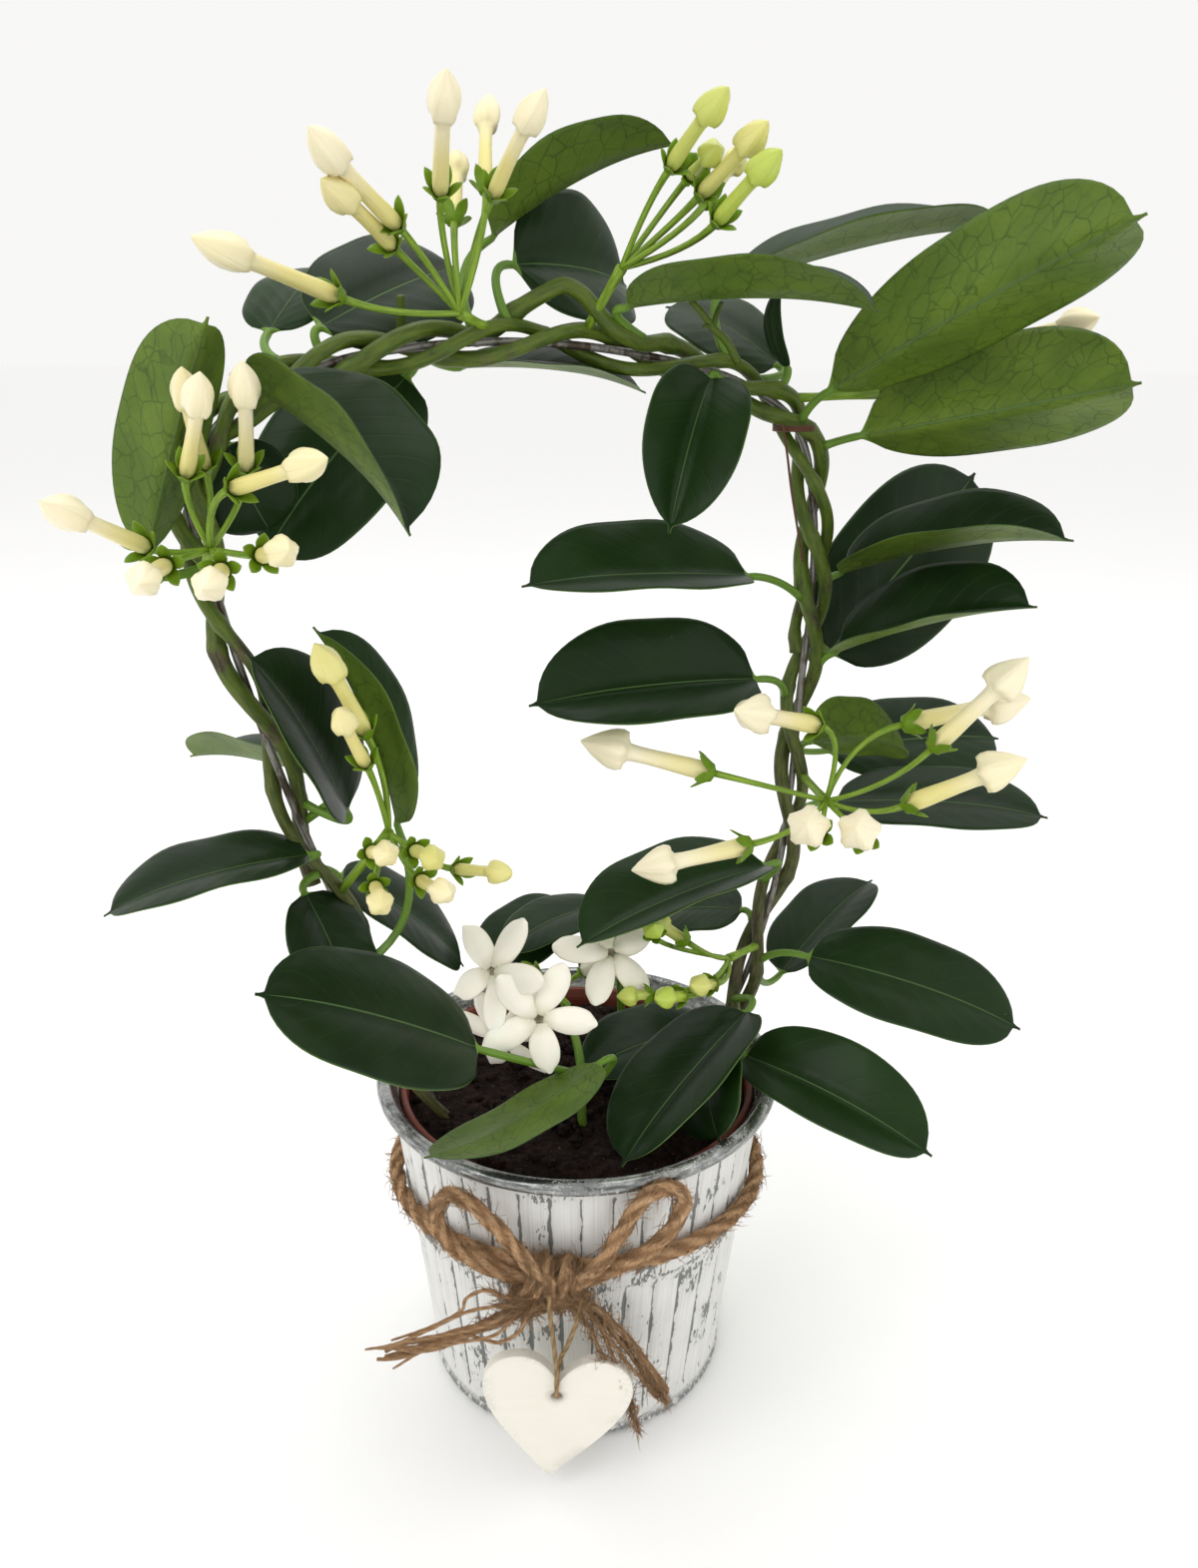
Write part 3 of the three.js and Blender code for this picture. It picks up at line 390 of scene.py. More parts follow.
def leafUnder():
    f = Finish("leafUnder", {"Specular IOR Level": 0.25})
    u, v = f.layout()
    place = f.place()
    out = (u - 0.5).size()
    shaken = f.shake(place, 110, 0.006)
    coarse = 1 - f.cells(shaken, 170, "DISTANCE_TO_EDGE").rise(0.0, 0.06)
    small = 1 - f.cells(shaken, 420, "DISTANCE_TO_EDGE").rise(0.0, 0.05)
    cloudy = f.noise(place, 60, 3)
    faded = f.noise(place, 110, 2).rise(0.30, 0.52)
    net = (coarse * faded).most(small * 0.35)
    rib = 1 - out.rise(0.008, 0.02)
    colour = f.blend(cloudy.rise(0.3, 0.7) * 0.6, leafLook["under"], leafLook["underDark"])
    colour = f.blend(f.tone() * 0.45, colour, leafLook["underDark"])
    colour = f.blend(net * 0.46, colour, leafLook["net"])
    colour = f.blend(sideVeins(v, out) * 0.3, colour, leafLook["net"])
    colour = f.blend((rib * 0.6).most(out.rise(0.484, 0.499) * 0.4), colour, leafLook["rib"])
    return f.wear(colour, 0.42 + cloudy * 0.14, bump=rib * 1.4 - net * 0.3, deep=0.0004, strength=0.6)


def greenStalk(name, low, high, spot):  # fresh stalks: streaks along them and small pale spots
    f = Finish(name, {"Specular IOR Level": 0.4})
    u, v = f.layout()
    streak = f.streaks(u * 9.0, v * 3.0, 4)
    dots = 1 - f.cells(f.place(), 900).rise(0.10, 0.22)
    colour = f.blend(dots * 0.35, f.blend(streak.rise(0.3, 0.7), low, high), spot)
    return f.wear(colour, 0.42 + streak * 0.15, bump=streak, deep=0.0002, strength=0.4)


barkLook = {
  "green": ((0.042, 0.078, 0.004), (0.100, 0.152, 0.010)), "dots": (0.19, 0.18, 0.10),
  "brown": ((0.034, 0.028, 0.012), (0.115, 0.098, 0.046)), "oldBelow": (0.15, 0.36),
}


def bark():  # old stems: green above, brown and cracked towards the soil
    f = Finish("bark", {"Specular IOR Level": 0.35})
    place = f.place()
    u, v = f.layout()
    streak = f.streaks(u * 9.0, v * 110.0, 5, 0.6)
    patch = f.noise(place, 85, 4, 0.6)
    old = (1 - f.height().rise(*barkLook["oldBelow"])) * 0.62 + patch.rise(0.5, 0.68) * 0.55
    green = f.blend(streak.rise(0.3, 0.7), *barkLook["green"])
    brown = f.blend(streak.rise(0.35, 0.65), *barkLook["brown"])
    dots = 1 - f.cells(place, 620).rise(0.12, 0.2)
    colour = f.blend(dots * 0.4, f.blend(old.rise(0.15, 0.85), green, brown), barkLook["dots"])
    return f.wear(colour, 0.45 + old * 0.25, bump=streak * 0.7 + dots * 0.5, deep=0.0005, strength=0.7)


flowerLook = {
  "ivory": (0.91, 0.835, 0.60), "butter": (0.78, 0.70, 0.265), "unripe": (0.42, 0.56, 0.06),
  "seam": (0.55, 0.45, 0.18), "streak": (0.66, 0.60, 0.24),
  "petal": ((0.94, 0.90, 0.80), (0.85, 0.80, 0.67)), "petalFoot": (0.52, 0.50, 0.30),
  # throat: the hollow's own yellow-green, made dark as painted shade deep in the tube
  "petalEdge": (0.72, 0.68, 0.54), "throat": (0.24, 0.23, 0.07),
  "sepal": ((0.080, 0.165, 0.005), (0.175, 0.30, 0.012)), "sepalRim": (0.25, 0.38, 0.07),
  "stalk": ((0.115, 0.215, 0.010), (0.25, 0.385, 0.03), (0.40, 0.48, 0.16)),
}


def wax(name, glow, specular):  # petals and buds, which let a little light in
    sockets = {"Subsurface Weight": glow, "Subsurface Scale": 0.003, "Specular IOR Level": specular}
    return Finish(name, sockets)


def budWax():  # v runs from the foot of the bud to its tip, tone from ivory to yellow-green
    f = wax("budWax", 0.12, 0.5)
    u, v = f.layout()
    cloudy = f.noise(f.place(), 260, 3)
    tone = f.tone() + (cloudy - 0.5) * 0.12
    ripe = tone + (1 - v.rise(0.2, 0.78)) * 0.5
    pale = f.blend(ripe.rise(0.08, 0.75), flowerLook["ivory"], flowerLook["butter"])
    colour = f.blend(tone.rise(0.45, 1.25), pale, flowerLook["unripe"])
    seams = 1 - ((u * 5.0 + v * 0.6).part() - 0.5).size().rise(0.0, 0.05)
    colour = f.blend(seams * v.rise(0.66, 0.74) * 0.12, colour, flowerLook["seam"])
    streaks = f.streaks(u * 30.0, v * 3.0, 3)
    colour = f.blend(streaks.rise(0.5, 0.75) * 0.16, colour, flowerLook["streak"])
    bump = cloudy + streaks - seams * 0.5
    return f.wear(colour, 0.28 + cloudy * 0.14, bump=bump, deep=0.0002, strength=0.5)


def petalWax():  # v runs from the petal's foot to its tip, tone is 1 deep in the throat, where it blends in painted shade
    f = wax("petalWax", 0.1, 0.35)
    u, v = f.layout()
    cloudy = f.noise(f.place(), 200, 3)
    lines = f.streaks(u * 26.0, v * 2.0, 2)
    colour = f.blend(cloudy * 0.6, *flowerLook["petal"])
    colour = f.blend((1 - v.rise(0.0, 0.28)) * 0.55, colour, flowerLook["petalFoot"])
    colour = f.blend((u - 0.5).size().rise(0.40, 0.5) * 0.25, colour, flowerLook["petalEdge"])
    # painted shade: the inside of the tube darkens to the throat colour as it goes deeper
    colour = f.blend(f.tone(), colour, flowerLook["throat"])
    return f.wear(colour, 0.42 + cloudy * 0.1, bump=lines * 0.5 + cloudy * 0.5, strength=0.5)


def sepalGreen():  # v 0.5 is the rim of the cup
    f = Finish("sepalGreen", {"Specular IOR Level": 0.2})
    v = f.layout()[1]
    cloudy = f.noise(f.place(), 500, 3)
    rim = 1 - (v - 0.5).size().rise(0.02, 0.12)
    colour = f.blend(rim * 0.45, f.blend(cloudy, *flowerLook["sepal"]), flowerLook["sepalRim"])
    return f.wear(colour, 0.42, bump=cloudy, deep=0.0002, strength=0.5)


# pot: u runs once round it from the front, v is the height in metres
potPaint = {
  "white": (0.76, 0.755, 0.725), "shade": (0.56, 0.565, 0.55), "zinc": (0.12, 0.125, 0.12),
  # bright: the light grey of bare zinc in the seams, and of the painted highlight streaks on the rim
  "bright": (0.46, 0.47, 0.46), "grime": (0.10, 0.105, 0.10), "lineWidth": 0.040,
  "upper": (40, 0.268), "lower": (36, -0.39),  # flutes round the pot and where they start
  "upperBand": (0.0745, 0.107), "lowerBand": (0.007, 0.069), "foot": (0.0012, 0.0065),
  "rings": ((0.0685, 0.0006), (0.0745, 0.0005)), "chipped": ((0.0672, 0.006), (0.0775, 0.006)),
  "underRim": (0.100, 0.108), "rim": (0.1090, 0.1104),
}


def wornPaint():
    f = Finish("wornPaint", {"Specular IOR Level": 0.3})
    u, v = f.layout()
    place = f.place()
    wobble = f.noise(place, 130, 4, 0.6) - 0.5
    grit = f.noise(place, 620, 4, 0.65)
    patch = f.noise(place, 75, 3, 0.5)
    jagged = f.noise(f.place((1, 1, 0.45)), 900, 3, 0.6)
    width = potPaint["lineWidth"]

    def lines(band, low, high):  # the seams between flutes, in one band of the side
        count, phase = band
        off = ((u * float(count) - phase + 0.5 + wobble * 0.16).part() - 0.5).size()
        inside = v.rise(low, low + 0.002) * (1 - v.rise(high - 0.002, high))
        thick = patch.rise(0.30, 0.70) * 1.5 * width + jagged * 2.2 * width - width * 0.75
        return (1 - (off - thick).rise(-0.004, 0.010)) * inside

    def levels(name):  # two rings round the side
        low, high = (
            1 - (v - at + wobble * 0.0022).size().rise(spread * 0.3, spread)
            for at, spread in potPaint[name]
        )
        return low.most(high)

    high = lines(potPaint["upper"], *potPaint["upperBand"])
    seams = high.most(lines(potPaint["lower"], *potPaint["lowerBand"]))
    rings = levels("rings") * grit.rise(0.46, 0.56)
    near = levels("chipped").most(v.rise(*potPaint["underRim"]) * 0.4)
    chips = (patch * 0.75 + jagged * 0.5 + near * 0.085).rise(0.745, 0.765)
    foot = (1 - v.rise(*potPaint["foot"])) * grit.rise(0.40, 0.52)
    rim = v.rise(*potPaint["rim"])
    left = (patch * 0.55 + jagged * 0.6).rise(0.635, 0.665)
    bare = seams.most(rings).most(chips).most(foot)
    stripes = f.streaks(u * 900.0, v * 26.0, 4, 0.6)
    dull = patch.rise(0.3, 0.7) * 0.3 + stripes.rise(0.42, 0.72) * 0.65
    paint = f.blend(dull, potPaint["white"], potPaint["shade"])
    # the rim's zinc: streaks along it between dark zinc and bright grey, partly rubbed metal and partly
    # painted highlight streaks
    rubAndGlint = f.streaks(u * 60.0, v * 900.0, 4, 0.6)
    metal = f.blend((rubAndGlint * 0.9 + grit * 0.2).rise(0.42, 0.74), potPaint["zinc"], potPaint["bright"])
    colour = f.blend(bare, paint, f.blend(stripes * 0.6, potPaint["grime"], potPaint["bright"]))
    edge = rim * (1 - left * 0.9)
    colour = f.blend(edge, colour, metal)
    rough = 0.5 + grit * 0.2 - edge * 0.36
    metallic = (bare * 0.25).most(edge * 0.85)
    bump = grit * 0.25 + stripes * 0.25 - bare.most(edge) * 0.8
    return f.wear(colour, rough, metal=metallic, bump=bump, strength=0.6)


holderLook = {
  "plastic": (0.175, 0.032, 0.016), "dust": (0.100, 0.045, 0.028),
  "soil": ((0.006, 0.003, 0.0025), (0.040, 0.019, 0.013)), "fleck": (0.30, 0.26, 0.20),
  "wood": ((0.84, 0.81, 0.73), (0.73, 0.70, 0.61)), "bareWood": (0.30, 0.27, 0.23),
  "wire": ((0.24, 0.23, 0.21), (0.07, 0.05, 0.033)),
  "tieWire": ((0.050, 0.020, 0.010), (0.14, 0.060, 0.032)),
}


def nurseryPlastic():
    f = Finish("nurseryPlastic", {"Specular IOR Level": 0.45})
    dust = f.noise(f.place(), 160, 5, 0.65)
    colour = f.blend(dust.rise(0.5, 0.75) * 0.4, holderLook["plastic"], holderLook["dust"])
    rings = (f.height() * 4200.0).wave()
    return f.wear(colour, 0.38 + dust * 0.25, bump=rings * 0.2 + dust, deep=0.0002, strength=0.4)


def darkSoil():
    f = Finish("darkSoil", {"Specular IOR Level": 0.15})
    place = f.place()
    grit = f.noise(place, 420, 6, 0.7)
    crumbs = f.cells(place, 260)
    colour = f.blend(grit.rise(0.35, 0.7), *holderLook["soil"])
    colour = f.blend(f.noise(place, 900, 2).rise(0.70, 0.74) * 0.5, colour, holderLook["fleck"])
    return f.wear(colour, 0.55 + grit * 0.4, bump=grit - crumbs * 0.6, deep=0.0022)


def jute(name, dark, light):  # u once round the rope, v its run in metres, tone 0 between plies
    sheen = {"Sheen Weight": 0.1, "Sheen Roughness": 0.5, "Sheen Tint": (0.9, 0.65, 0.4)}
    f = Finish(name, {"Specular IOR Level": 0.1, **sheen})
    u, v = f.layout()
    fibre = f.streaks(u * 5.0 + v * 90.0, v * 24.0, 6, 0.75, f.tone() * 0.4, 6.5, 0.6)
    fine = f.noise(f.place(), 1500, 4, 0.7)
    cloudy = f.noise(f.place(), 190, 3)
    colour = f.blend((fibre * 0.9 + fine * 0.4).rise(0.42, 0.84), dark, light)
    pale = (min(0.95, light[0] * 1.1), light[1] * 1.2, light[2] * 1.4)
    colour = f.blend((cloudy * 0.5 + fibre * 0.5).rise(0.52, 0.68) * 0.6, colour, pale)
    shade = (dark[0] * 0.55, dark[1] * 0.46, dark[2] * 0.44)
    colour = f.blend((1 - f.tone()) ** 1.5 * 0.6, colour, shade)
    return f.wear(colour, 0.88, bump=fibre + fine * 0.5, deep=0.0018)


def paintedWood():
    f = Finish("paintedWood", {"Specular IOR Level": 0.3})
    brush = f.noise(f.place((0.12, 1, 1)), 420, 4, 0.6)
    grit = f.noise(f.place(), 700, 4, 0.65)
    patch = f.noise(f.place(), 90, 3)
    arris = f.tone() * (patch + grit * 0.6).rise(0.78, 0.90)
    colour = f.blend(brush * 0.4 + patch * 0.3, *holderLook["wood"])
    colour = f.blend(arris * 0.2, colour, holderLook["bareWood"])
    return f.wear(colour, 0.55 + brush * 0.15, bump=brush * 0.5 + grit * 0.3, deep=0.0001, strength=0.4)


def bareWire():
    f = Finish("bareWire", {"Specular IOR Level": 0.5})
    rust = f.noise(f.place((1, 1, 0.4)), 260, 5, 0.65)
    colour = f.blend(rust.rise(0.46, 0.62), *holderLook["wire"])
    return f.wear(colour, 0.36 + rust * 0.3, metal=0.6, bump=rust, deep=0.0002, strength=0.5)


def rustyWire():
    f = Finish("rustyWire", {"Specular IOR Level": 0.3})
    rust = f.noise(f.place(), 700, 4, 0.6)
    return f.wear(f.blend(rust, *holderLook["tieWire"]), 0.6, bump=rust, deep=0.0002, strength=0.5)


# stage and camera

stage = {
  "camera": (6.9, -367.1, 347.0), "pitch": 19.43, "roll": 0.42, "lens": 27.73,
  "half": 40.0, "below": -0.0002, "paper": ((0.985, 0.985, 0.98), (0.97, 0.97, 0.965)),
  "sky": (1.0, 0.995, 0.985, 1), "skyStrength": 0.94, "aim": (0, 0, 0.2),
  "lamps": {  # place, size, power
      "key": ((-0.9, -1.1, 1.5), 1.0, 8.5),
      "fill": ((1.3, -0.7, 0.9), 1.0, 2.0),
      "top": ((0.1, 0.4, 1.7), 1.2, 6.5),
  },
}


def addCamera():
    data = bpy.data.cameras.new("camera")
    data.lens = stage["lens"]
    camera = stand("camera", data)
    tilt = Matrix.Rotation(math.radians(90 - stage["pitch"]), 4, "X")
    roll = Matrix.Rotation(math.radians(stage["roll"]), 4, "Z")
    camera.matrix_world = Matrix.Translation([x * 0.001 for x in stage["camera"]]) @ tilt @ roll
    bpy.context.scene.camera = camera


def addFloor():
    half, low = stage["half"], stage["below"]
    corners = [(-half, -half, low), (half, -half, low), (half, half, low), (-half, half, low)]
    mesh = bpy.data.meshes.new("floor")
    mesh.from_pydata(corners, [], [(0, 1, 2, 3)])
    floor = stand("floor", mesh)
    paper = Finish("paleFloor", {"Roughness": 0.7, "Specular IOR Level": 0.2})
    paper.wear(paper.blend(paper.noise(paper.place(), 9, 4), *stage["paper"]))
    mesh.materials.append(paper.material)


def addLight():
    for name, (place, size, power) in stage["lamps"].items():
        lamp = bpy.data.lights.new(name, "AREA")
        lamp.size = size
        lamp.energy = power
        light = stand(name, lamp)
        light.location = place
        aim = Vector(stage["aim"]) - light.location
        light.rotation_euler = aim.to_track_quat("-Z", "Y").to_euler()
    world = bpy.data.worlds.new("studio")
    world.use_nodes = True
    glow = world.node_tree.nodes["Background"]
    glow.inputs["Color"].default_value = stage["sky"]
    glow.inputs["Strength"].default_value = stage["skyStrength"]
    bpy.context.scene.world = world
    bpy.context.scene.view_settings.view_transform = "Standard"  # whites stay white


addCamera()
addFloor()
addLight()
print("stage ready")


# cords: the loose ends of the twine and the heart's string

rope = {
  "colours": ((0.55, 0.275, 0.12), (0.96, 0.63, 0.36)), "radius": 2.6, "pitch": 10.0, "depth": 0.16,
  "hairs": 8800, "hair": 0.15, "longestHair": 6.5, "tailRadius": 2.2, "tailStrands": 6,
  "tailStrand": 0.8, "tailPitch": 5.0, "tailDepth": 0.12, "spread": 0.9, "tailHairs": 1.8, "hairReach": 82,
  "stringColours": ((0.45, 0.28, 0.12), (0.88, 0.62, 0.33)),
  "stringRadius": 0.8, "stringPitch": 6.0, "stringDepth": 0.15,
}
juteFinish = jute("jute", *rope["colours"])
stringFinish = jute("stringJute", *rope["stringColours"])


# rope along a path, with fine ridges of yarn on its plies and long lumps: the carried section
# swells by 0.028 (two sine waves round it, which drift along the run) + 0.03 lumps;
# tone is 1 on the crowns of the plies and 0 in the valleys between them
def ropePart(path, radius, sides=24, plies=3, pitch=None, depth=rope["depth"]):
    pitch = rope["pitch"] * radius / rope["radius"] if pitch is None else pitch
    grid = carry(path, radius, sides, None, plies, pitch, depth)
    angle = onceRound(sides)
    run = runOf(path)[:, None]
    ridges = np.sin(7 * angle - run * 0.9 + 1.3 * np.sin(run * 0.7))
    ridges = ridges + np.sin(10 * angle - run * 0.5 + 2.0 * np.sin(run * 0.43))
    lumps = np.sin(run * 1.1 + 2 * angle) * np.sin(run * 0.37)
    grid += (grid - path[:, None]) * (0.028 * ridges + 0.03 * lumps)[..., None]
    part = loft(grid, run=run[:, 0] * 0.001)
    crown = 0.5 + 0.5 * np.cos(plies * angle - 2 * np.pi * run / pitch)
    part["tone"] = np.concatenate([crown.ravel(), [0.5, 0.5]])
    return part


# strands that swing round a path inside its radius, and part a little towards the loose end:
# line = path + reach (n cos turn + b sin turn), reach = (radius - strand) (1 + spread run^2),
# with a slow wave in both turn and reach
def frayedParts(path, swing):
    run = runOf(path) / runOf(path)[-1]
    normal, binormal = squareTo(path)
    count, thick = rope["tailStrands"], rope["tailStrand"]
    taper = thick * (1 - 0.25 * step(0.75, 1, run))
    parts = []
    for i in range(count):
        turn = 2 * np.pi * (i / count + swing * run) + 0.5 * np.sin(6 * run + 1.7 * i)
        reach = (rope["tailRadius"] - thick) * (0.85 + 0.15 * np.sin(5 * run + 2.1 * i))
        reach = reach * (1 + rope["spread"] * run**2)
        line = path + (reach * np.cos(turn))[:, None] * normal
        line = line + (reach * np.sin(turn))[:, None] * binormal
        parts.append(ropePart(line, taper, 10, 2, rope["tailPitch"], rope["tailDepth"]))
    return parts


def cordPiece(name, points, parts, finish):
    path = smoothLine(points, 8)
    piece = addPiece(name + "_jute", parts(path), [finish], (name,))
    (path * 0.001).tolist()
    return path


def stringParts(path):
    return [ropePart(path, rope["stringRadius"], 10, 2, rope["stringPitch"], rope["stringDepth"])]


leftTail = [(-13, -74, 76.5), (-25, -76, 70.5), (-42, -74.5, 61.5), (-60, -70, 52.5)]
rightTail = [(6, -72, 72.5), (11, -69, 64.5), (19, -66, 50.5), (25, -64, 37.5), (29, -63, 29.5)]
stringLine = [
  (-7, -76.8, 82), (-6.6, -77.3, 74.4), (-5.4, -76.4, 60.4), (-4.9, -75.4, 51.4),
  (-4.9, -75.3, 44.4), (-4.9, -74.8, 40.8), (-4.9, -72.2, 39.3), (-4.9, -69.6, 40.8),
  (-4.8, -69.1, 44.4), (-3.6, -69.6, 51.4), (-1.6, -73.2, 59.4), (1.6, -76.6, 73), (2.6, -76.2, 80.5),
]
tailLines = [
    cordPiece(
        "rope_tail_left", leftTail,
        lambda path: frayedParts(path, 0.6), juteFinish,
    ),
    cordPiece(
        "rope_tail_right", rightTail,
        lambda path: frayedParts(path, 0.5), juteFinish,
    ),
]
cordPiece(
    "heart_string", stringLine, stringParts, stringFinish,
)
print("cords laid")


# zinc pot, nursery pot and soil

pot = {
  "foot": 52.3, "shoulder": 64.6, "shoulderHeight": 111.0, "height": 115.5, "rim": 69.4, "wall": 2.0,
  "floor": 1.5, "footBead": 0.7, "footBeadAt": 1.3, "beltBead": 0.55, "beltBeadsAt": (67.6, 75.6),
  "rimBead": 2.5, "columns": 480, "fluteDepth": 0.8, "fluteBulge": 0.35, "groove": 0.13,
  "lower": (8, 66), "upper": (77.5, 107), "fluteEnd": 1.6,
}


def sideRadius(z):
    return pot["foot"] + (pot["shoulder"] - pot["foot"]) * z / pot["shoulderHeight"]


# side: r = R(z) + beads + band(z) (panel(angle) - depth groove(angle)); off is how far a point is
# from the nearest seam, in flutes: groove = (1 - off / 0.13)+ ^ 1.4, panel = -bulge (1 - 2 off)^2;
# rim: a round bead that rolls over to the inside
def potGrid():
    rise = np.concatenate([
        [0, 0.25, 0.7, 1.2, 1.8, 2.6, 4, 6], np.linspace(7, 9.5, 4), np.linspace(12, 64, 14),
        np.linspace(65, 79.5, 22), np.linspace(82, 104, 7), np.linspace(105, 109.6, 7),
    ])
    side = sideRadius(rise)
    side = side + pot["footBead"] * np.exp(-(rise - pot["footBeadAt"]) ** 2) - 0.9 * (1 - step(0, 1.0, rise))
    for height in pot["beltBeadsAt"]:
        side = side + pot["beltBead"] * np.exp(-((rise - height) / 0.7) ** 2)
    roll, bead = np.radians(np.linspace(-130, 150, 22)), pot["rimBead"]
    rim = np.stack([pot["rim"] - bead + bead * np.cos(roll), pot["height"] - bead + bead * np.sin(roll)], 1)
    wall, floor = pot["wall"], pot["floor"]
    inside = np.array([
        [pot["rim"] - 5.4, 112.6], [pot["shoulder"] - wall, 110.6], [sideRadius(106) - wall, 106],
        [sideRadius(60) - wall, 60], [sideRadius(3) - wall, 3.0], [sideRadius(1.6) - 3.2, floor],
        [30, floor], [2, floor],
    ])
    profile = np.vstack([[[1.5, 0.0], [30, 0.0]], np.stack([side, rise], 1), rim, inside])
    outer = np.concatenate([[0, 0], np.ones(len(rise)), np.zeros(len(rim) + len(inside))])
    turn = onceRound(pot["columns"])
    z = profile[:, 1]

    def flutes(count, phase, band):
        part = (turn * count / (2 * np.pi) - phase + 0.5) % 1
        off = np.abs(part - 0.5)
        groove = np.clip(1 - off / pot["groove"], 0, 1) ** 1.4
        panel = pot["fluteBulge"] * (1 - (2 * (0.5 - off)) ** 2)
        low, high, end = *band, pot["fluteEnd"]
        mask = step(low, low + end, z) * (1 - step(high - end, high, z)) * outer
        return mask[:, None] * (panel - pot["fluteBulge"] - pot["fluteDepth"] * groove)[None]

    low = flutes(*potPaint["lower"], pot["lower"])
    high = flutes(*potPaint["upper"], pot["upper"])
    return turned(profile[:, :1] + low + high, turn, z[:, None]), z


def addPot():
    grid, z = potGrid()
    addPiece("zinc_pot_side", [loft(grid, run=z * 0.001)], [wornPaint()], ("zinc_pot",))


def ringGrid(profile, columns):  # profile of radius and height turned round the middle
    profile = np.asarray(profile, float)
    return turned(profile[:, :1], onceRound(columns), profile[:, 1:])


nursery = {"top": 110, "lip": 61.4, "lipDepth": 6, "side": 60.2, "foot": 48, "wall": 1.2, "base": 1.8}


# profile of a thin wall: out along the foot, up the side, over the lip and down the inside
def addNursery():
    top, lip, side, foot, wall, base = (nursery[k] for k in ("top", "lip", "side", "foot", "wall", "base"))
    low = top - nursery["lipDepth"]
    profile = [
        (2, base), (foot - 1, base), (foot, base + 1), (side, low - 0.6), (lip - 0.3, low),
        (lip, low + 0.5), (lip, top - 0.5), (lip - 0.4, top), (lip - 1.5, top), (lip - 2.0, top - 0.4),
        (side - 1.1, low + 1.0), (side - 1.4, low), (foot - wall, base + wall), (2, base + wall),
    ]
    part = loft(ringGrid(profile, 144))
    addPiece("nursery_pot_wall", [part], [nurseryPlastic()], ("nursery_pot",))


soil = {
  "top": 106, "edge": 58.4, "edgeLow": 101, "foot": 45.6, "base": 3.4, "columns": 160, "grain": 0.32,
  "crumbs": 260, "crumbSize": (0.8, 2.6), "crumbReach": 56,
}


# top: z = top + 1.1 sin(0.11 x + 1) cos(0.13 y) + 0.5 sin(0.4 x + 0.2 y) + 0.3 sin(0.9 y - 0.5 x)
# + random grain, 3 mm lower at the edge; crumbs are rough six-sided balls
def addSoil():
    rings = np.concatenate([np.linspace(1, 57.5, 58), [soil["edge"]]])
    flat = turned(rings[:, None], onceRound(soil["columns"]), 0)
    x, y = flat[..., 0], flat[..., 1]
    wave = 1.1 * np.sin(0.11 * x + 1) * np.cos(0.13 * y) + 0.5 * np.sin(0.4 * x + 0.2 * y)
    wave = wave + 0.3 * np.sin(0.9 * y - 0.5 * x)
    grain = chance.normal(0, soil["grain"], x.shape)
    z = soil["top"] + wave + grain - 3.0 * step(50, soil["edge"], rings)[:, None]
    top = np.stack([x, y, z], 2)
    wall = [(soil["edge"], soil["edgeLow"]), (soil["foot"], soil["base"]), (2, soil["base"])]
    parts = [loft(np.concatenate([top, ringGrid(wall, soil["columns"])]))]
    lat, lon = np.radians(np.linspace(-60, 60, 4))[:, None], onceRound(6)
    ball = np.stack([np.cos(lat) * np.cos(lon), np.cos(lat) * np.sin(lon), np.sin(lat) + 0 * lon], 2)
    for _ in range(soil["crumbs"]):
        reach = soil["crumbReach"] * math.sqrt(chance.uniform(0.01, 1))
        angle = chance.uniform(0, 2 * math.pi)
        size = chance.uniform(*soil["crumbSize"]) * chance.uniform(0.6, 1.0, 3)
        low = soil["top"] + 0.4 - 2.6 * step(50, 58, reach)
        place = np.array([reach * math.sin(angle), -reach * math.cos(angle), low])
        rough = chance.uniform(0.75, 1.25, ball.shape[:2])[..., None]
        parts.append(loft(place + ball * size * rough))
    addPiece("soil_bed", parts, [darkSoil()], ("soil",))


addPot()
addNursery()
addSoil()
print("pots and soil done")


# twine round the pot, bow and knot

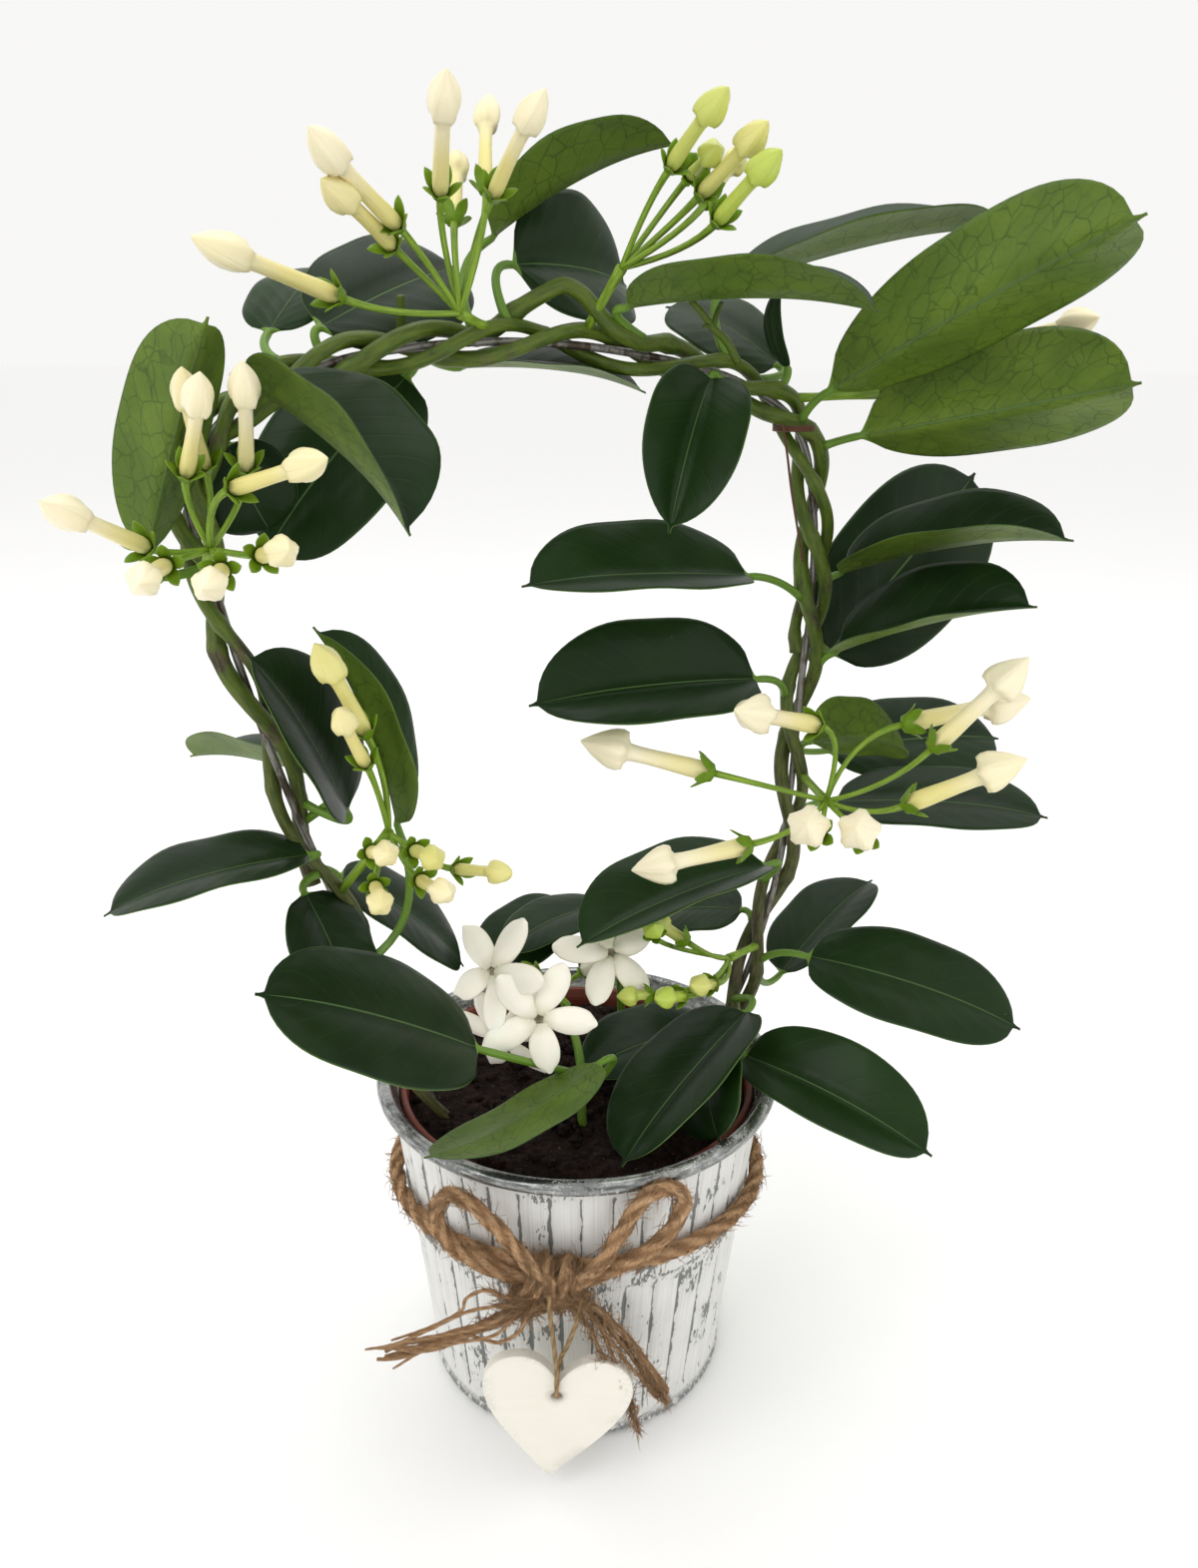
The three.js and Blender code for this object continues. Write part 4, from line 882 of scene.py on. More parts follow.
bow = {
  "radius": 2.7, "front": 82, "side": 77, "loopRadius": 2.5, "knot": (-3.5, -68.7, 79.5),
  "knotReach": (4.6, 6.6), "turns": [  # offset, slant and radius
      (-10.5, 0.55, 2.2), (-7, 0.3, 2.4), (-3.2, -0.25, 2.5), (0.6, 0.2, 2.5), (4.2, -0.35, 2.3)],
  "strand": 0.62, "strandPitch": 4.5, "strandDepth": 0.14, "strands": [
      [(-10, -75, 79), (-19.6, -76, 80.3), (-25.9, -78, 84.7), (-31.5, -79, 82.6),
       (-33.4, -79, 77.7), (-43, -78.5, 71.1), (-55.2, -76, 63.7)],
      [(-9, -76, 77), (-18.3, -77, 78.3), (-30.8, -79, 77.8), (-42.9, -79.5, 71.3),
       (-54.1, -77.5, 63.6), (-63.6, -75, 59.1)],
      [(-9, -76, 75), (-17.8, -77.5, 75.7), (-27.8, -80, 72.7), (-39.8, -80.5, 70.1),
       (-49.9, -78.5, 65.8), (-58.6, -76.5, 61.4)],
      [(-8, -76, 75), (-15.9, -78, 75.5), (-23.3, -81, 70.7), (-33.9, -80.5, 67.5),
       (-44.7, -79, 62.9), (-55.3, -75.5, 52.2)],
      [(-8, -76, 78), (-12.9, -78.5, 76.7), (-15.8, -80.5, 71.8), (-21.9, -80.5, 67.6),
       (-28.5, -80, 68.9), (-36.3, -79.5, 70.7)],
      [(-2, -75, 80), (3.2, -76, 79.3), (11.7, -76, 71.8), (20.5, -73.5, 57.4), (27.9, -70, 39.8),
       (30.1, -68.5, 30.9)],
      [(-2, -75, 78), (2, -76.5, 77.5), (8.7, -75.5, 68.8), (18.2, -72, 49.8), (25.7, -69.5, 38.4),
       (29.1, -68.5, 32.9)],
      [(-2, -75, 77), (0.8, -76.5, 76), (5.7, -74.5, 65.9), (11.4, -71.5, 48.4), (18, -68, 29.4),
       (21.5, -66.5, 16.9)],
      [(0, -75, 80), (4.4, -75.5, 78.3), (10, -74, 63.5), (15.2, -71, 44.7), (18.6, -68.5, 32),
       (20.4, -67, 20.8)],
  ],
  "leftLoop": [
      (-6, -72.8, 81.5), (-14, -71, 89.5), (-22, -68.5, 98.5), (-31, -66.5, 107), (-38, -64, 108),
      (-42, -63, 100.5), (-37, -65.5, 90.5), (-24, -68, 83.5), (-8, -67.8, 79),
  ],
  "rightLoop": [
      (0, -72.8, 81.5), (8, -71, 88), (14.5, -69, 98.5), (20.5, -68, 109), (28, -66.5, 113),
      (33.5, -64.5, 107.5), (30, -66, 98), (20, -67.5, 88.5), (4, -67.8, 79.5),
  ],
}


# ring: r = R(z) + gap + radius at z = side + (front - side) cos(angle)
def twineRing():
    angle = np.linspace(0, 2 * np.pi, 440)
    z = bow["side"] + (bow["front"] - bow["side"]) * np.cos(angle)
    reach = sideRadius(z) + 0.5 + bow["radius"]
    return turned(reach, angle, z)


# turn of the knot: place = knot + (offset + slant high sin a, deep cos a, high sin a)
def knotTurn(offset, slant):
    angle = np.linspace(0, 2 * np.pi, 60)
    x, y, z = bow["knot"]
    deep, high = bow["knotReach"]
    return np.stack([
        x + offset + slant * high * np.sin(angle), y + deep * np.cos(angle), z + high * np.sin(angle),
    ], 1)


# hairs: thin three-sided splinters that leave the rope and bend; most lie along it:
# line = start + length (lean t + 0.38 curl t^2), as many on each path as its share of all the run
def hairParts(paths, radii):
    starts, leans, curls, lengths = [], [], [], []
    shares = np.array([runOf(p)[-1] for p in paths])
    counts = (rope["hairs"] * shares / shares.sum()).astype(int)
    for path, radius, many in zip(paths, radii, counts):
        tangent = unit(np.gradient(path, axis=0))
        at = chance.integers(1, len(path) - 1, many)
        outward = chance.normal(0, 1, (many, 3))
        outward = unit(outward - tangent[at] * (outward * tangent[at]).sum(1)[:, None])
        along = tangent[at] * chance.choice([-1.0, 1.0], many)[:, None]
        rising = chance.uniform(0.02, 1, many)[:, None] ** 2.2
        swing = np.cross(tangent[at], outward) * chance.uniform(-0.7, 0.7, many)[:, None]
        starts.append(path[at] + outward * radius * 0.9)
        leans.append(unit(along + swing + outward * rising * 1.6))
        aside = np.cross(along, outward) * chance.uniform(-1, 1, many)[:, None]
        curls.append(unit(aside - outward * 0.5))
        lengths.append(rope["longestHair"] * chance.uniform(0.3, 1, many))
    start, lean, curl = (np.concatenate(x) for x in (starts, leans, curls))
    length = np.concatenate(lengths)[:, None, None]
    t = np.array([0, 0.5, 1.0])[None, :, None]
    line = start[:, None] + lean[:, None] * length * t + curl[:, None] * length * 0.38 * t**2
    side = unit(np.cross(lean, curl) + 1e-3)
    third = np.cross(lean, side)
    thin = rope["hair"] * np.array([1.0, 0.85, 0.3])[None, :, None]
    corners = ((1, 0), (-0.5, 0.87), (-0.5, -0.87))
    ring = np.stack([line + (side * c + third * d)[:, None] * thin for c, d in corners], 2)
    reach = np.hypot(ring[..., 0], ring[..., 1])
    clear = (reach > sideRadius(ring[..., 2]) + 0.05) & (reach < rope["hairReach"])  # of the pot
    clear = clear.all((1, 2))
    return [loftMany(ring[clear], chance.uniform(0.8, 1.1, clear.sum()))]


def addBow():
    wound = [twineRing(), smoothLine(bow["leftLoop"], 12), smoothLine(bow["rightLoop"], 12)]
    radii = [bow["radius"], bow["loopRadius"], bow["loopRadius"]]
    turns = [knotTurn(offset, slant) for offset, slant, _ in bow["turns"]]
    strands = [smoothLine(line, 8) for line in bow["strands"]]
    thicknesses = radii + [radius for _, _, radius in bow["turns"]]
    parts = [ropePart(path, radius) for path, radius in zip(wound + turns, thicknesses)]
    for path in strands:
        thin = bow["strand"] * (1 - 0.4 * shareOf(path) ** 6)
        parts.append(ropePart(path, thin, 8, 2, bow["strandPitch"], bow["strandDepth"]))
    radii += [rope["radius"]] * 2 * len(turns) + [rope["tailHairs"]] * 2 + [bow["strand"]] * len(strands)
    parts += hairParts([*wound, *turns, *turns, *tailLines, *strands], radii)  # the knot is woolliest
    addPiece("twine_bow_jute", parts, [juteFinish], ("twine_bow",))


addBow()
print("twine tied")


# wooden heart

heart = {
  "middle": (-4.9, -72.2, 39.6), "thick": 3.6, "tilt": 5, "hole": 2.0, "round": 0.35,
  "dip": (0, 5.5), "curves": [  # from the dip round: two handles and an end for each curve
      (3, 12, 8, 15.5, 13, 15), (20, 14.5, 24, 9, 23.5, 2.5), (23, -9, 10, -21, 0, -33),
      (-10, -21, -23, -9, -23.5, 2.5), (-24, 9, -20, 14.5, -13, 15), (-8, 15.5, -3, 12, 0, 5.5),
  ],
}


# rings go from the hole over the front to the rounded edge and back: place = hole + (edge - hole) s
def addHeart():
    start, t = np.array(heart["dip"], float), np.linspace(0, 1, 16, endpoint=False)[:, None]
    edge = []
    for curve in heart["curves"]:
        a, b, c = (np.array(curve[i:i + 2], float) for i in (0, 2, 4))
        edge.append((1 - t) ** 3 * start + 3 * t * (1 - t) ** 2 * a + 3 * t**2 * (1 - t) * b + t**3 * c)
        start = c
    edge = np.vstack(edge)
    inward = unit(edge)
    hole = inward * heart["hole"]
    half, r = heart["thick"] / 2, heart["round"]
    bend = np.radians([0, 22, 45, 68, 90])

    def face(s, y):
        return hole + (edge - inward * r - hole) * s, y

    def arris(a, side):
        return edge - inward * r * (1 - math.sin(a)), side * (half - r * (1 - math.cos(a)))

    rows = [face(s, -half) for s in (0.0, 0.12, 0.35, 0.6, 0.82)] + [arris(a, -1) for a in bend]
    rows += [arris(a, 1) for a in bend[::-1]] + [face(s, half) for s in (0.6, 0.2, 0.0)] + [(hole, -half)]
    tones = [0.35] + [0.0] * 4 + [1.0] * 2 + [0.85] * 8 + [0.0] * 3  # 1 where paint rubs off
    flat = np.stack([np.column_stack([p[:, 0], np.full(len(p), y), p[:, 1]]) for p, y in rows])
    tilt = math.radians(heart["tilt"])
    c, d = math.cos(tilt), math.sin(tilt)
    part = loft(flat @ np.array([[c, 0, -d], [0, 1, 0], [d, 0, c]]) + np.array(heart["middle"]))
    last = len(tones) * len(edge)  # the last row is the first again, so no end is closed
    part["quads"] = part["quads"] % last
    part["points"], part["tone"] = part["points"][:last], np.repeat(tones, len(edge))
    for key in ("tris", "triUv", "triFinish"):
        part[key] = part[key][:0]
    addPiece("wooden_heart_board", [part], [paintedWood()], ("wooden_heart",))


addHeart()
print("heart hung")


# hoop and vines

hoop = {
  "turn": 20, "wire": 1.2, "windPerPoint": 0.44, "reach": 4.0, "swell": 0.4,
  "line": [
      (-46, 84), (-51, 108), (-65, 146), (-79, 188), (-90, 223), (-99, 256), (-105, 284), (-110, 312),
      (-97, 333), (-71, 345), (-42, 350), (-12, 351), (19, 348), (50, 341), (72, 327), (80, 300),
      (81, 270), (79, 240), (78, 210), (75, 178), (67, 145), (54.5, 114), (46, 84),
  ],
  "vines": {  # radius, turn at its start, first and last point of the line
      "vine_stem_a": (2.2, 219, 3.2, 22), "vine_stem_b": (2.0, 339, 6.2, 22),
      "vine_stem_c": (1.8, 99, 0, 16.6),
  },
  "twigs": [  # radius and line
      (1.2, [(45.5, -4, 346), (41.8, -6, 351.7), (37.6, -8, 355.2), (34.6, -9, 358.8), (31.1, -10, 362.1)]),
      (0.9, [(37.6, -8, 355.2), (38.9, -7, 359.4), (40, -6, 361.8)]),
      (0.6, [(38, -8, 354.8), (36.6, -9, 355.6), (34.7, -10, 355.4)]),
      (1.5, [(-48.5, -8, 349), (-48.7, -10, 354.1), (-48.2, -12, 358.7), (-48.1, -13, 362.7)]),
  ],
  "tie": [(61.2, 11, 328.9), (62.8, 10, 320.9), (65.1, 11, 309.0), (67.8, 12, 297.5), (70.3, 14, 287.3)],
  "tieRing": ((66, 20, 327), 6.2), "tieWire": 0.38,
  "arched": "vine_stem_a", "arch": (10.5, 11.85), "archPoints": [
      (-23, -3, 355), (-17, -2, 359.5), (-10, -3, 363.5), (-4, -3, 366), (1, -3, 364), (5, -3, 360),
      (10, -2, 355),
  ],
}
planeAlong, planeNormal = heading(hoop["turn"], 0), heading(hoop["turn"] + 90, 0)
hoopPoints = np.array([planeAlong * a + np.array([0, 0, z]) for a, z in hoop["line"]])
lastPoint = len(hoopPoints) - 1


# a vine winds round the wire: place = wire(at) + reach (outward cos turn + normal sin turn)
def vinePoint(phase, at):
    ahead = onLine(hoopPoints, np.minimum(at + 0.002, lastPoint))
    tangent = unit(ahead - onLine(hoopPoints, np.maximum(at - 0.002, 0)))
    turn = 2 * np.pi * hoop["windPerPoint"] * at + math.radians(phase)
    reach = hoop["reach"] + hoop["swell"] * np.sin(np.pi * at / lastPoint)
    outward = np.cross(tangent, planeNormal) * (reach * np.cos(turn))[:, None]
    return onLine(hoopPoints, at) + outward + planeNormal * (reach * np.sin(turn))[:, None]


def vineLine(name):
    _, phase, first, last = hoop["vines"][name]
    at = np.arange(first, last + 1e-6, 0.25)
    low, high = hoop["arch"]
    if name != hoop["arched"]:
        return vinePoint(phase, at)
    before, after = (vinePoint(phase, part) for part in (at[at <= low], at[at >= high]))
    return np.vstack([before, hoop["archPoints"], after])


def nearestOnVines(at, place):  # the nearest point of a vine, close to one point of the hoop
    found = []
    low, high = hoop["arch"]
    for name, (radius, phase, first, last) in hoop["vines"].items():
        near = at + np.arange(-2, 3) * 0.1
        arched = (near > low) & (near < high) & (name == hoop["arched"])
        near = near[(near >= first) & (near <= last) & ~arched]
        if len(near):
            points = vinePoint(phase, near)
            far = np.linalg.norm(points - place, axis=1)
            found.append((far.min(), points[far.argmin()], radius))
    return min(found, key=lambda one: one[0])[1:]


def stalkRoot(at, foot):  # where a stalk leaves the skin of a vine
    point, radius = nearestOnVines(at, foot)
    return point + unit(foot - point) * (radius - 0.3)


# stem: the radius swells at each joint where leaves sit, about every 55 mm, and is slightly lumpy
def addVines():
    finish = bark()
    for i, (name, (thick, *_)) in enumerate(hoop["vines"].items()):
        path = smoothLine(vineLine(name), 5)
        run = runOf(path)
        joint = np.exp(-(((run + 17 * i) % 55 - 27) / 2.2) ** 2)
        lumps = 0.05 * np.sin(run / 9.1 + i) + 0.03 * np.sin(run / 5.3 + 2 * i)
        grid = carry(path, thick * (1.08 + 0.25 * joint + lumps), 12, planeNormal)
        ridges = 0.05 * np.sin(3 * onceRound(12) + run[:, None] / 9)
        grid += (grid - path[:, None]) * ridges[..., None]
        parts = [loft(grid, run=run * 0.001)]
        if name == "vine_stem_b":
            for width, line in hoop["twigs"]:
                twig = smoothLine(line, 4)
                taper = 1 - 0.25 * shareOf(twig) ** 2
                parts.append(loft(carry(twig, width * taper, 8)))
        addPiece(name + "_bark", parts, [finish], (name,))
    wire = smoothLine(hoopPoints, 8)
    parts = [loft(carry(wire, hoop["wire"], 10, planeNormal), run=runOf(wire) * 0.001)]
    addPiece("wire_hoop_steel", parts, [bareWire()], ("wire_hoop",))
    middle, reach = hoop["tieRing"]
    angle, upright = np.linspace(0, 6 * np.pi, 90), heading(0, 90)
    ring = np.array(middle) + reach * spokes(planeAlong, planeNormal, angle)
    ring = ring + upright * (angle * 0.09 - 0.8)[:, None]
    lines = (ring, smoothLine(hoop["tie"], 8))
    parts = [loft(carry(path, hoop["tieWire"], 8, upright)) for path in lines]
    addPiece("tie_wire", parts, [rustyWire()])


addVines()
print("vines wound")


# leaves

# point of the hoop's line where the stalk starts, foot of the blade, turn, rise, length, width,
# lean and fold, and the blade's arch where it isn't the usual one
leafRows = [
  (8.9, (-70, -18, 354), 56, 18, 63, 38, 43, 0), (8.4, (-85, -12, 353), 75, 28, 42, 28, 3, 0),
  (8.4, (-81, -52, 340), -27, -34, 58, 50, -7, 42), (9.8, (-48, -4, 342), -163, -48, 66, 42, -59, 5),
  (6.1, (-108, -60, 299), -26, 64, 63, 42, -38, 58), (3.7, (-67, -36, 221), -140, 64, 57, 40, -49, 18),
  (2.2, (-51, -44, 220), -161, 73, 62, 36, -12, 40), (3.5, (-72, -26, 226), 146, -2, 67, 32, 15, 31),
  (3.3, (-77, -40, 208.7), -158, -8, 59, 38, -2, 12), (3.45, (-81, -38, 196), -37, -62, 42, 34, -11, 3),
  (3.4, (-76, -14, 191), 17, -43, 55, 34, 15, 5), (20.95, (50, 17.2, 118.2), -152, -3, 55, 36, -6, 9),
  (20.3, (58.6, -2, 136), -131, -20, 72, 40, 11, 20), (20.5, (46, -12, 127.5), -92, -25, 34, 30, 50, 0),
  (20.7, (57, -7, 121.8), -34, -10, 69, 38, 24, 30, 6), (20.2, (79, 8, 152), -18, -11, 74, 40, 24, 6),
  (20.0, (75, 34, 131), 37, 30, 54, 36, -8, 15), (19.4, (64, 8, 186), -149, -8, 75, 42, -5, 28),
  (19.9, (59.6, 32.6, 157.8), 162, -11, 32, 30, -15, 5), (13.1, (39, 8, 342), -112, -50, 53, 38, -25, 42),
  (16.1, (54, 16, 282), -157, 2, 76, 40, -26, 25), (17.0, (58, 14, 249), -160, -1, 77, 44, -41, 29),
  (16.4, (85, 42, 251), 28, 44, 85, 50, 62, 5), (15.9, (84.6, 28.5, 280.7), -30, 14, 73, 42, 15, 39),
  (17.0, (84, 22, 256), -36, 21, 67, 44, 22, 33), (17.6, (91.6, 60, 210), 16, 0, 73, 38, 37, 5),
  (18.2, (91, 40, 197), -14, 2, 73, 36, 18, 10), (17.5, (79.6, 28, 223.6), -35, 7, 35, 34, -52, 16),
  (12.2, (13, -8, 360), -22, 0, 71, 36, 0, 35), (12.8, (45, 18, 367), 7, 13, 84, 38, 6, 31),
  (14.0, (74, 10, 338), -52, 24, 102, 50, -58, 49), (14.5, (86, 18, 325), -40, 12, 83, 50, -72, 47),
  (10.2, (-25, 11, 379), -4, 26, 58, 40, 6, 42), (10.5, (-19, 9, 372), 42, -4, 46, 45, 61, 16),
  (9.7, (-34.5, 3, 344), 11, -5.5, 56, 28, 12, 20), (13.1, (62, 34, 345), 161, 27, 41, 34, -28, 0),
  (13.3, (63.2, 20.6, 344.6), -158, 76, 23, 7, -160, 0), (7.4, (-94.9, -27, 324.5), 38, -67, 27, 27, 105, 0),
]
shoots = [
  ("young_shoot_front", [(2, -24, 84), (2, -24, 110), (1, -21, 130), (-4, -13, 145)], [
      (0.55, (-28, -58, 155), -151, 30, 71, 44, -28, 2), (0.4, (8, -38, 138), -140, -6, 65, 28, -166, 0)]),
  ("young_shoot_back", [(16, 46, 84), (16, 46, 112), (14, 44, 138), (10, 42, 156)], [
      (0.97, (-5, 42, 156), -142, -21, 42, 32, -12, 0), (0.85, (10, 34, 159), -146, -8, 44, 28, -3, 5)]),
]
blade = {
  "arch": 2.5, "hook": 1.5, "sway": 1.2, "peak": 0.965, "power": 2.5, "beak": 0.16, "thick": 0.55,
  "stalk": 1.15, "shoot": 1.6, "lanes": 13, "rows": 34, "bulge": 0.07, "wave": 0.45,
}


# half width at a share t of the length: sqrt(1 - |2 t / peak - 1|^power), then a narrow beak
def bladeOutline(t):
    body = np.sqrt(np.clip(1 - np.abs(2 * t / blade["peak"] - 1) ** blade["power"], 0, 1))
    return np.maximum(body, np.where(t > 0.86, blade["beak"] * (1 - t) / 0.1, 0))


# leaf over share t along and lane q across, from -1 to 1:
# spine(t) = foot + axis L t + normal (arch 4t(1-t) - hook (t - 0.6)+^2 / 0.16) + across sway 4t(1-t)
# point = spine + across w q cos(fold) + normal w (|q| sin(fold) + bulge sin(pi |q|^0.9) + wave |q|^3)
# the stalk before it is a round bar on a quadratic bend, whose corners turn into the blade's
def leafPart(root, foot, turn, rise, length, width, lean, fold, order, arch=blade["arch"]):
    axis, normal, across = bladeFrame(turn, rise, lean)
    foot = np.asarray(foot, float)
    count = blade["lanes"]
    lanes = 0.6 * np.sin(np.linspace(-np.pi / 2, np.pi / 2, count)) + 0.4 * np.linspace(-1, 1, count)
    q, face = twoFaced(lanes)
    corner = (np.arange(count) + 0.5) * np.pi / count
    corner = np.concatenate([np.pi - corner, -corner])
    t = (1 - np.cos(np.pi * np.linspace(0.04, 1, blade["rows"]))) / 2
    swell = 4 * t * (1 - t)
    dip = np.maximum(0, t - 0.6) ** 2 / 0.16
    sway = blade["sway"] * math.sin(2.4 * order)
    spine = foot + axis * (length * t)[:, None] + normal * (arch * swell - blade["hook"] * dip)[:, None]
    spine = spine + across * (sway * swell)[:, None]
    half = np.maximum(width / 2 * bladeOutline(t), 0.5)[:, None]
    side, lift = math.cos(math.radians(fold)), math.sin(math.radians(fold))
    away = np.sqrt(q**2 + 0.01) - 0.1
    phase = 2 * np.pi * (2.3 * t[:, None] + 0.31 * order + 0.25 * np.sign(q))
    wave = blade["wave"] * np.sin(phase) * np.abs(q) ** 3
    high = half * (away * lift + blade["bulge"] * np.sin(np.pi * np.abs(q) ** 0.9)) + wave * half / 20
    facing = normal[None] * side - across[None] * (lift * np.tanh(q / 0.2))[:, None]
    facing = unit(facing + normal[None] * 0.02)
    thick = blade["thick"] / 2 * (1 - 0.55 * q**2)
    surface = spine[:, None] + across * (half * q * side)[..., None] + normal * high[..., None]
    surface = surface + facing[None] * (face * thick)[:, None]
    rod = spine[:, None] + spokes(across, normal, corner) * blade["stalk"] * 0.9
    blend = step(0.0, 0.045, t)[:, None, None]
    surface = surface * blend + rod * (1 - blend)
    bar = bentLine(root, foot, axis, 12)[:-1]
    tangent = unit(np.gradient(bar, axis=0))
    upward = unit(normal - tangent * (tangent @ normal)[:, None] + 1e-6)
    reach = blade["stalk"] * (1.05 + 0.25 * np.exp(-np.linspace(0, 6, len(bar))))[:, None, None]
    stalk = bar[:, None] + reach * spokes(np.cross(tangent, upward), upward, corner)
    grid = np.concatenate([stalk, surface])
    along = np.concatenate([np.zeros(len(bar)), t])
    uv = layoutOf((q + 1) / 2, along[:, None], grid.shape[:2])
    finish = np.zeros((len(grid) - 1, len(q)), int)
    finish[:, count:] = 1
    finish[:, count - 1] = 0
    finish[:len(bar) + 2] = 2
    return loft(grid, uv=uv, finish=finish, tone=chance.uniform(0.05, 0.75))


def addLeaves():
    finishes = [leafTop(), leafUnder(), greenStalk("leafStalk", *leafLook["stalk"])]
    for i, (at, foot, turn, rise, length, width, lean, fold, *arch) in enumerate(leafRows):
        root = stalkRoot(at, np.array(foot, float))
        part = leafPart(root, foot, turn, rise, length, width, lean, fold, i, *arch)
        name = f"leaf_{i + 1:02d}"
        addPiece(name + "_blade", [part], finishes, (name,))
    for i, (name, line, leaves) in enumerate(shoots):
        path = smoothLine(line, 10)
        thick = blade["shoot"] * (1 - 0.15 * shareOf(path))
        parts = [loft(carry(path, thick, 12), finish=2)]
        for j, (share, foot, *row) in enumerate(leaves):
            root = onLine(np.array(line, float), np.array([share * (len(line) - 1)]))[0]
            parts.append(leafPart(root, foot, *row, 2 * i + j))
        addPiece(name + "_leaves", parts, finishes, (name,))


addLeaves()
print("leaves grown")


# buds and flowers

# point of the hoop's line, tone from ivory to yellow-green, plumpness, how arrow-shaped the heads
# are, hub, then foot, turn, rise and length of each bud
umbels = {
  "umbel_a": (10.7, 0.3, 0.64, 0.2, (-31, -22, 358), [
      ((-60, -34, 361), -129, 15, 44), ((-45, -30, 378), -111, 24, 42), ((-48, -22, 374), -107, 18, 38),
      ((-35, -24, 386), -79, 34, 40), ((-33, -12, 381), 94, 38, 34), ((-24, -14, 388), 91, 52, 34),
      ((-22, -20, 386), -59, 35, 36)]),
  "umbel_b": (11.35, 0.85, 0.7, 0.4, (12, -12, 370), [
      ((24, -22, 393), -66, 25, 32), ((30, -8, 393), -79, 8, 26), ((32, -20, 387), -62, 24, 32),
      ((36, -26, 380), -65, 24, 32), ((34, -10, 386), 58, 35, 28)]),
  "umbel_c": (5.9, 0.2, 0.62, 0.3, (-91, -62, 301), [
      ((-102, -74, 303), -103, 22, 40), ((-94, -66, 319), -60, 43, 36), ((-92, -56, 320), -80, 46, 34),
      ((-81, -60, 320), -71, 46, 36), ((-81, -74, 317), -39, 14, 38), ((-96, -80, 300), -79, 3, 38),
      ((-83, -80, 299), -79, 3, 38), ((-74, -78, 302), -65, 10, 36)]),
  "umbel_d": (2.9, 0.52, 0.72, 0.3, (-52, -52, 221), [
      ((-55, -60, 252), -116, 57, 34), ((-55, -62, 244), -101, 52, 26), ((-55, -64, 220), -67, 20, 26),
      ((-44, -60, 219), -67, 15, 26), ((-42, -64, 212), -63, 13, 26), ((-34, -52, 210), -41, 13, 24),
      ((-54, -66, 211), -76, 11, 26)]),
  "umbel_e": (18.1, 0.05, 0.95, 1, (80, -2, 213), [
      ((42, -16, 227), 177, 13, 42), ((75, -8, 240), -143, 17, 38), ((104, 4, 237), 5, 11, 42),
      ((111, -6, 232), -5, 49, 40), ((102, -14, 216), -26, 31, 40), ((54, -22, 206), -171, -10, 38),
      ((73, -28, 212), -106, 25, 38), ((87, -28, 211), -107, 25, 38)]),
  "umbel_f": (20.05, 1.0, 1.08, 0, (52, 6, 152), [
      ((25, -14, 171), -93, 39, 14), ((37, -4, 163), 162, 29, 17), ((25, -25, 155), -179, -3, 12),
      ((35, -24, 154), -139, 17, 14), ((45, -16, 154), -130, 21, 14)]),
  "umbel_g": (13.5, 0.5, 0.75, 0.3, (93, 30, 337), [
      ((129, 30, 352), -58, 11, 36), ((110, 33, 355), -70, 12, 22), ((118, 29, 356), -60, 14, 22)]),
}
bud = {
  "length": 40, "plump": 0.6, "pedicel": 0.85, "peduncle": 1.3, "sides": 20, "calyxSides": 50,
  "profile": [
      (0.02, 2.2, 2.0), (0.05, 3.1, 2.8), (0.10, 3.45, 3.1), (0.18, 3.45, 3.1), (0.32, 3.2, 2.85),
      (0.46, 3.05, 2.65), (0.57, 3.05, 2.65), (0.635, 3.3, 2.9), (0.665, 4.2, 4.2), (0.685, 5.2, 5.8),
      (0.715, 5.9, 6.35), (0.76, 6.3, 6.15), (0.80, 6.2, 5.6), (0.85, 5.6, 4.6), (0.895, 4.5, 3.5),
      (0.935, 3.1, 2.4), (0.965, 1.9, 1.4), (0.985, 1.0, 0.8), (1.0, 0.3, 0.25),
  ],  # share of the length, radius of an egg-shaped head and of an arrow-shaped one
}


